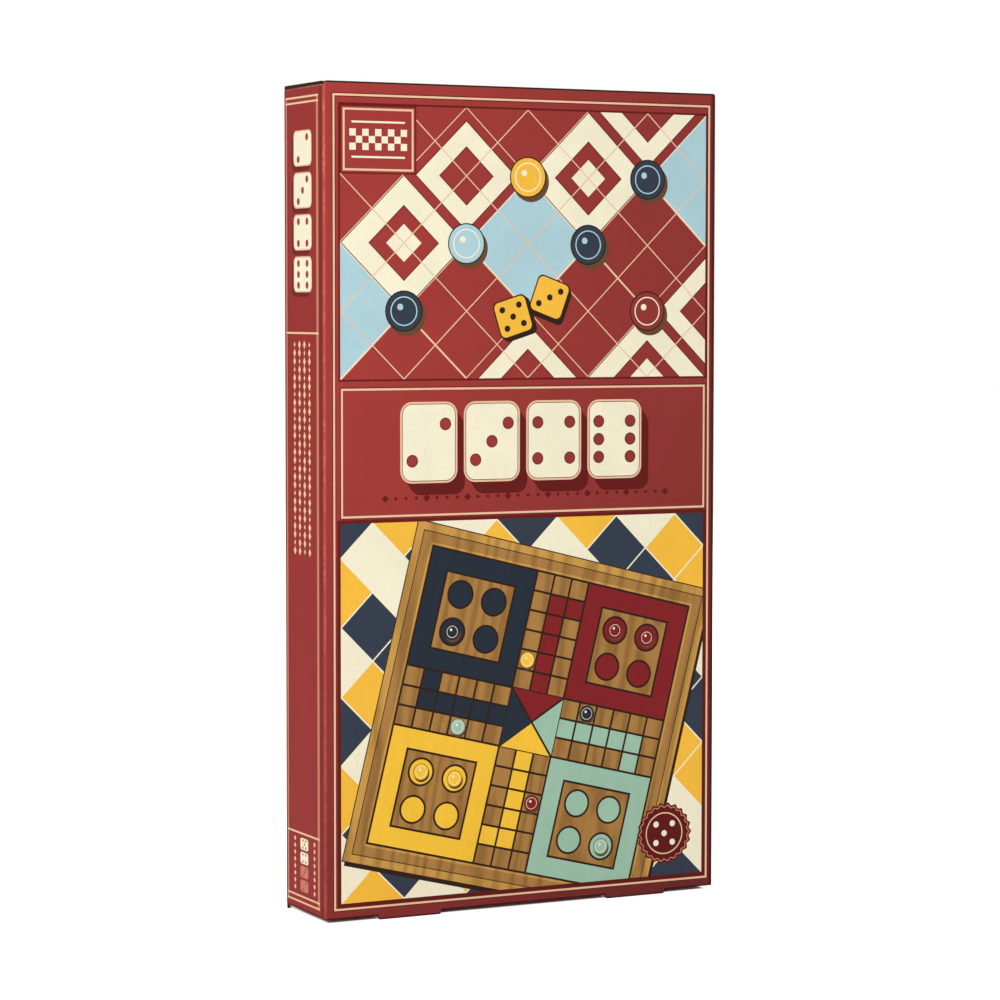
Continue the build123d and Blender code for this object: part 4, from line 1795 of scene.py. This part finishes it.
        def place(across: float, along: float, depth: float) -> Vector:
            """Finds where a point of the lid's print, or of its raw side, lies.

            Args:
                across: its place across the flat print.
                along: its distance from the lid's crease along the flat print.
                depth: its depth under the print.

            Returns:
                Its place on the carton.
            """
            if along <= top_length:
                return Vector((across, back - along, top - depth))
            angle = min((along - top_length) / nose, bend)
            run = max(along - top_length - curve, 0.0)
            outward = Vector((0.0, -math.sin(angle), math.cos(angle)))
            onward = Vector((0.0, -math.cos(angle), -math.sin(angle)))
            centre = Vector((across, self.tongue_y + nose, top - nose))
            return centre + outward * (nose - depth) + onward * run

        def fold_share(across: float, along: float) -> float:
            """How near a point is to the middle of the nose."""
            return max(0.0, 1.0 - abs(along - top_length - curve / 2) / (curve / 2 + self.nose_wear_and_highlight))

        stops = [top_length + curve * k / self.nose_steps for k in range(self.nose_steps + 1)]
        return FoldedSheet("printed_lid", art, self.board, place, (), stops, fold_share)

    def build(self) -> list[Piece]:
        """Builds and dresses every piece of the carton.

        Returns:
            The pieces.
        """
        sheet = PrintedSheet("carton_print").make()
        front = PrintedSheet("front_print", grain_turn=self.picture_turn, painted_shade=1.0).make()
        # cut edges in near-black brown: partly the board's own colour, partly painted shade for the dark
        # edges round the lid
        cut = RawBoard("carton_cut_edge_and_shade", colour="#2e1613").make()
        raw = RawBoard("carton_board").make()
        prints = {self.front: self.front_art(), self.spine: self.spine_art(),
                  self.right: self.plain_art(self.right), self.back: self.back_art()}
        sheets = [(wall.sheet(art), wall.node, "carton") for wall, art in prints.items()]
        made = []
        for folded, node, body in [*sheets, (self.lid_sheet(), "lid", "lid")]:
            piece = smoothed(folded.build([front if node == "front_panel" else sheet, cut, raw]))
            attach(piece, body)
            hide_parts(node)
            made.append(piece)
        up = FlapPrint("top_flap_print", outside=(0.0, 0.0, 1.0)).make()
        down = FlapPrint("bottom_flap_print", outside=(0.0, 0.0, -1.0)).make()
        dressed = {"top_dust_flap_spine": up, "top_dust_flap_right": up, "bottom_outer_flap": down,
                   "bottom_inner_flap": down, "bottom_dust_flap_spine": down, "bottom_dust_flap_right": down,
                   "glue_lap": raw}
        return made + [dress(node, material, self.flap_rounding) for node, material in dressed.items()]


@dataclass
class WoodenCase:
    """The folding wooden case: rails, dividers and the two playing surfaces."""

    surface_margin: float = 3.0
    panel_thickness: float = 2.6
    line: float = 0.7
    outer_rim: float = 1.6
    inner_rim: float = 1.0
    rail_rounding: float = 0.35
    divider_rounding: float = 0.3

    def surface(self, half: str) -> Piece:
        """Builds one playing surface, which holds one half of the ludo board.

        Args:
            half: front or back.

        Returns:
            The new piece.
        """
        low, high = (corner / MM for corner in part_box(f"{half}_playing_panel"))
        outer_y, inward = (low.y, 1.0) if half == "front" else (high.y, -1.0)
        window = Window(low.x, low.z, high.x, high.z)
        art = Artwork(window.corners, Ink.OAK, window=window)
        span = window.top - window.bottom - 2 * self.surface_margin
        pattern = LudoPattern(span / LudoPattern.squares, self.line)
        art.aim(0.0, (window.right, (window.top + window.bottom) / 2))
        square = Window(-span / 2, -span / 2, span / 2, span / 2)
        art.block(square.grown(self.outer_rim), Ink.DARK_LINE)
        art.block(square.grown(self.inner_rim), Ink.WALNUT)
        pattern.draw(art)

        def place(across: float, along: float, depth: float) -> Vector:
            """Where a point of the print, or of the panel's inner side, lies."""
            return Vector((across, outer_y + inward * depth, along))

        sheet = FoldedSheet(f"{half}_playing_surface", art, self.panel_thickness, place)
        printed = PrintedSheet(f"{half}_surface_print", fibre=0.03, wear_and_highlight_amount=0.25, paper="#8b6437",
                               roughness=0.34).make()
        inside = Timber(f"{half}_surface_ply", offset=0.6, light="#c69a62", dark="#8f6434").make()
        piece = sheet.build([printed, inside, inside])
        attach(piece, "wooden_case")
        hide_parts(f"{half}_playing_panel")
        return piece

    def build(self) -> list[Piece]:
        """Builds and dresses the wooden parts of the case.

        Returns:
            The pieces.
        """
        made = []
        for number, half in enumerate(("front", "back")):
            made.append(self.surface(half))
            upright = Timber(f"{half}_rail_wood", offset=0.3 * number + 0.1).make()
            level = Timber(f"{half}_end_rail_wood", axis=0, offset=0.3 * number + 0.2).make()
            inner = Timber(f"{half}_divider_wood", axis=0, offset=0.5 * number + 0.7, light="#c9a06a",
                           dark="#94683a", roughness=0.5).make()
            woods = {"clasp_rail": upright, "hinge_rail": upright, "top_rail": level, "bottom_rail": level,
                     "lower_divider": inner, "upper_divider": inner}
            for part, wood in woods.items():
                rounding = self.divider_rounding if wood == inner else self.rail_rounding
                made.append(dress(f"{half}_{part}", wood, rounding))
        return made


@dataclass
class Fittings:
    """Brass hinges with their screws, and the two hook clasps."""

    screw_radius: float = 1.5
    screw_dome: float = 0.35
    screw_sides: int = 24
    screw_rings: int = 5
    slot_width: float = 0.42
    slot_floor: float = -0.05
    first_turn: float = 0.7
    next_turn: float = 1.9
    screw_from_pin: float = 6.0
    screw_spread: float = 7.5
    rounding: float = 0.15

    def screws(self, name: str, places: Sequence[Vector], brass: Material) -> Piece:
        """Builds slotted screw heads that face +X.

        Args:
            name: name of the piece.
            places: middle of each head on the leaf, in millimetres.
            brass: their finish.

        Returns:
            The new piece.
        """
        bm, sides = bmesh.new(), self.screw_sides
        for number, middle in enumerate(places):
            turn = Matrix.Rotation(self.first_turn + self.next_turn * number, 3, "X")
            loops = []
            for rise_angle in (math.radians(90 / self.screw_rings * k) for k in range(self.screw_rings)):
                radius, loop = self.screw_radius * math.cos(rise_angle), []
                for k in range(sides):
                    angle = math.tau * k / sides
                    spot = Vector((self.screw_dome * math.sin(rise_angle), radius * math.cos(angle),
                                   radius * math.sin(angle)))
                    if abs(spot.y) < self.slot_width and radius < self.screw_radius:
                        spot.x = self.slot_floor
                    loop.append(bm.verts.new((middle + turn @ spot) * MM))
                loops.append(loop)
            for inner, outer in zip(loops[1:], loops):
                for k in range(sides):
                    bm.faces.new((outer[k], outer[(k + 1) % sides], inner[(k + 1) % sides], inner[k]))
            bm.faces.new(loops[-1])
            bm.faces.new(loops[0][::-1])
        bmesh.ops.recalc_face_normals(bm, faces=bm.faces)
        piece = finished(name, bm, [brass])
        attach(piece, "wooden_case")
        return piece

    def build(self) -> list[Piece]:
        """Dresses the fittings and adds their screws.

        Returns:
            The pieces.
        """
        brass = Brass("fitting_brass").make()
        made = []
        for level in ("lower", "upper"):
            for part in ("hinge_front_leaf", "hinge_back_leaf", "hinge_pin", "hook_pivot", "catch_pin",
                         "hook"):
                made.append(dress(f"{level}_{part}", brass, self.rounding))
            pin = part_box(f"{level}_hinge_pin")
            face, axis_y = (pin[0].x + pin[1].x) / 2 / MM, (pin[0].y + pin[1].y) / 2 / MM
            for leaf, side in (("front", -1.0), ("back", 1.0)):
                low, high = (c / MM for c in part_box(f"{level}_hinge_{leaf}_leaf"))
                middle = (low.z + high.z) / 2
                places = [Vector((face, axis_y + side * self.screw_from_pin, middle + up * self.screw_spread))
                          for up in (-1, 1)]
                made.append(self.screws(f"{level}_{leaf}_leaf_screws", places, brass))
        return made


@dataclass
class PlayingPieces:
    """Sixteen turned pawns and the wooden die."""

    pawns_per_colour: int = 4
    turned_sides: int = 48
    smooth_below: float = 50.0
    foot_radius: float = 6.2
    foot_height: float = 2.2
    edge: float = 0.5
    stem_steps: int = 12
    stem_hollow: float = 2.2
    stem_rise: float = 0.05
    waist_radius: float = 2.5
    collar_radius: float = 3.8
    collar_height: float = 16.5
    collar_thickness: float = 1.2
    head_radius: float = 4.4
    height: float = 25.0
    die_rounding: float = 0.25

    def profile(self) -> Outline:
        """Draws half the outline of a pawn, from the rim of its foot up to its head.

        Returns:
            Points as radius and height, without the two on the axis.
        """
        start, low = self.foot_radius - self.edge, self.foot_height + self.stem_rise
        points = arc((start, self.edge), self.edge, -90, 0, 5)
        points += arc((start, self.foot_height - self.edge), self.edge, 0, 70, 5)
        for k in range(1, self.stem_steps + 1):
            share = k / self.stem_steps
            radius = self.waist_radius + (start - self.waist_radius) * (1 - share) ** self.stem_hollow
            points.append((radius, low + (self.collar_height - low) * share))
        lip = self.collar_thickness / 2
        points += arc((self.collar_radius - lip, self.collar_height + lip), lip, -90, 90, 9)
        head_z = self.height - self.head_radius
        neck = math.degrees(math.asin((self.collar_height + 2 * lip - head_z) / self.head_radius))
        return points + arc((0.0, head_z), self.head_radius, neck, 90, 14)[:-1]

    def turned(self, name: str, foot: Vector, material: Material) -> Piece:
        """Turns a pawn from its profile.

        Args:
            name: name of the piece.
            foot: middle of its foot, in millimetres.
            material: its finish.

        Returns:
            The new piece.
        """
        bm, sides = bmesh.new(), self.turned_sides
        bottom = bm.verts.new(foot * MM)
        rings = [[bm.verts.new((foot + Vector((radius * math.cos(a), radius * math.sin(a), rise))) * MM)
                  for a in (math.tau * k / sides for k in range(sides))] for radius, rise in self.profile()]
        top = bm.verts.new((foot + Vector((0.0, 0.0, self.height))) * MM)
        for k in range(sides):
            after = (k + 1) % sides
            bm.faces.new((bottom, rings[0][after], rings[0][k]))
            bm.faces.new((top, rings[-1][k], rings[-1][after]))
            for lower, upper in zip(rings, rings[1:]):
                bm.faces.new((lower[k], lower[after], upper[after], upper[k]))
        bmesh.ops.recalc_face_normals(bm, faces=bm.faces)
        return smoothed(finished(name, bm, [material]), self.smooth_below)

    def build(self) -> list[Piece]:
        """Builds the pawns and dresses the die.

        Returns:
            The pieces.
        """
        made = []
        for yard in Yard:
            colour = yard.name.lower()
            paint = GlossPaint(f"{colour}_pawn_paint", colour=yard.paint).make()
            for number in range(1, self.pawns_per_colour + 1):
                node = f"pawn_{colour}_{number}"
                low, high = (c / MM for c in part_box(node))
                foot = Vector(((low.x + high.x) / 2, (low.y + high.y) / 2, low.z))
                piece = self.turned(f"turned_{node}", foot, paint)
                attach(piece, "wooden_case")
                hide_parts(node)
                made.append(piece)
        low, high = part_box("die")
        wood = DieWood("die_wood", axis=0, offset=0.9, light="#d7b078", dark="#a87843", roughness=0.45,
                       centre=tuple((low + high) / 2), half=(high.x - low.x) / 2 / MM).make()
        return [*made, dress("die", wood, self.die_rounding)]


@dataclass
class Leaflet:
    """The folded rules leaflet behind the case."""

    paper: str = "#ece4d0"
    fibre: float = 0.05
    roughness: float = 0.8

    def build(self) -> list[Piece]:
        """Dresses the leaflet."""
        paper = RawBoard("leaflet_paper", colour=self.paper, fibre=self.fibre,
                         roughness=self.roughness).make()
        return [dress("rules_leaflet", paper)]


@dataclass
class Studio:
    """Pale floor, soft lamps, a plain world and the camera at the photograph's angle."""

    camera_place: Triple = (-0.52878, -1.05575, 0.22087)
    camera_forward: Triple = (0.44613, 0.8929, -0.06078)
    camera_roll: float = math.radians(0.0545)
    lens: float = 114.87
    floor_size: float = 12.0
    floor_colour: float = 0.8
    floor_shine: float = 0.1
    floor_white: float = 0.77
    ambient: float = 0.32
    # painted shadow: where the floor's glow fades out under the carton's footprint, in millimetres
    painted_contact_shadow: Point = (-3.2, -1.6)
    lamp_aim: Triple = (0.0, 0.0, 0.15)
    lamps: tuple[tuple[str, Triple, float, float], ...] = (
        ("key_lamp", (-1.12, -1.05, 0.5), 0.7, 18.2), ("back_lamp", (1.3, 1.2, 0.9), 0.9, 27.0))

    def build_camera(self) -> None:
        """Places the camera."""
        data = bpy.data.cameras.new("camera")
        data.lens = self.lens
        data.sensor_width = 36.0
        data.clip_end = 30.0
        camera = bpy.data.objects.new("camera", data)
        turn = Vector(self.camera_forward).to_track_quat("-Z", "Y").to_matrix().to_4x4()
        roll = Matrix.Rotation(self.camera_roll, 4, "Z")
        camera.matrix_world = Matrix.Translation(self.camera_place) @ turn @ roll
        bpy.context.scene.collection.objects.link(camera)
        bpy.context.scene.camera = camera

    def build_lamps(self) -> None:
        """Adds the square soft lamps, which point at the middle of the carton."""
        for name, place, size, power in self.lamps:
            data = bpy.data.lights.new(name, "AREA")
            data.shape, data.size, data.energy = "SQUARE", size, power
            lamp = bpy.data.objects.new(name, data)
            lamp.location = place
            aim = Vector(self.lamp_aim) - Vector(place)
            lamp.rotation_euler = aim.to_track_quat("-Z", "Y").to_euler()
            lamp.visible_camera = False
            bpy.context.scene.collection.objects.link(lamp)

    def seen(self, graph: Graph) -> Socket:
        """Adds a value that is 1 to the camera, in reflections and through clear pieces."""
        path = graph.add("ShaderNodeLightPath").outputs
        return graph.math("MAXIMUM", path["Is Camera Ray"],
                          graph.math("MAXIMUM", path["Is Glossy Ray"], path["Is Transmission Ray"]))

    def build_world(self) -> None:
        """Makes the world white to the camera and to reflections, and softer as a light."""
        world = bpy.data.worlds.new("studio_world")
        world.use_nodes = True
        graph = Graph(world.node_tree)
        level = graph.weighted((self.seen(graph), 1.0 - self.ambient), level=self.ambient)
        graph.feed(world.node_tree.nodes["Background"], {"Color": (1.0, 1.0, 1.0, 1.0), "Strength": level})
        bpy.context.scene.world = world

    def distance_from_carton(self, graph: Graph, place: Socket) -> Socket:
        """Adds the distance of a point of the floor from the carton's footprint.

        Args:
            graph: the floor's graph.
            place: the place on the floor.

        Returns:
            The distance in metres, below 0 under the carton.
        """
        spot = graph.add("ShaderNodeSeparateXYZ", {0: place}).outputs
        across = graph.math("SUBTRACT", graph.math("ABSOLUTE", spot[0]), CAD_BOX[1].x)
        along = graph.math("SUBTRACT", graph.math("ABSOLUTE", spot[1]), CAD_BOX[1].y)
        return graph.math("MAXIMUM", across, along)

    def build_floor(self) -> None:
        """Adds the floor: pale, white to the camera apart from the carton's shadow."""
        bm = bmesh.new()
        bmesh.ops.create_grid(bm, x_segments=8, y_segments=8, size=self.floor_size / 2)
        graph, shader, place = Finish("pale_floor").start()
        graph.feed(shader, {"Base Color": (*[self.floor_colour] * 3, 1.0), "Roughness": 0.8,
                            "Specular IOR Level": self.floor_shine})
        # painted shadow: the glow is left out by position under the carton's footprint, so the floor there
        # shows only its lit shade
        away = self.distance_from_carton(graph, place)
        open_floor = graph.span(away, self.painted_contact_shadow[0] * MM, self.painted_contact_shadow[1] * MM, 0.0, self.floor_white)
        strength = graph.math("MULTIPLY", self.seen(graph), open_floor)
        glow = graph.add("ShaderNodeEmission", {"Strength": strength})
        both = graph.add("ShaderNodeAddShader", {0: shader.outputs[0], 1: glow.outputs[0]})
        graph.feed(graph.tree.nodes["Material Output"], {"Surface": both.outputs[0]})
        floor = finished("floor", bm, [graph.material])

    def build(self) -> None:
        """Builds the whole studio."""
        bpy.context.scene.view_settings.view_transform = "Standard"
        self.build_camera()
        self.build_world()
        self.build_floor()
        self.build_lamps()


def main() -> None:
    """Builds the studio and every sub-assembly, and reports the pieces."""
    logging.basicConfig(level=logging.INFO, format="%(name)s: %(message)s")
    Studio().build()
    for assembly in (Carton(), Leaflet(), WoodenCase(), Fittings(), PlayingPieces()):
        for piece in assembly.build():
            log.info("%s: %s, %d faces", type(assembly).__name__, piece.name, len(piece.data.polygons))


if __name__ == "__main__":
    main()
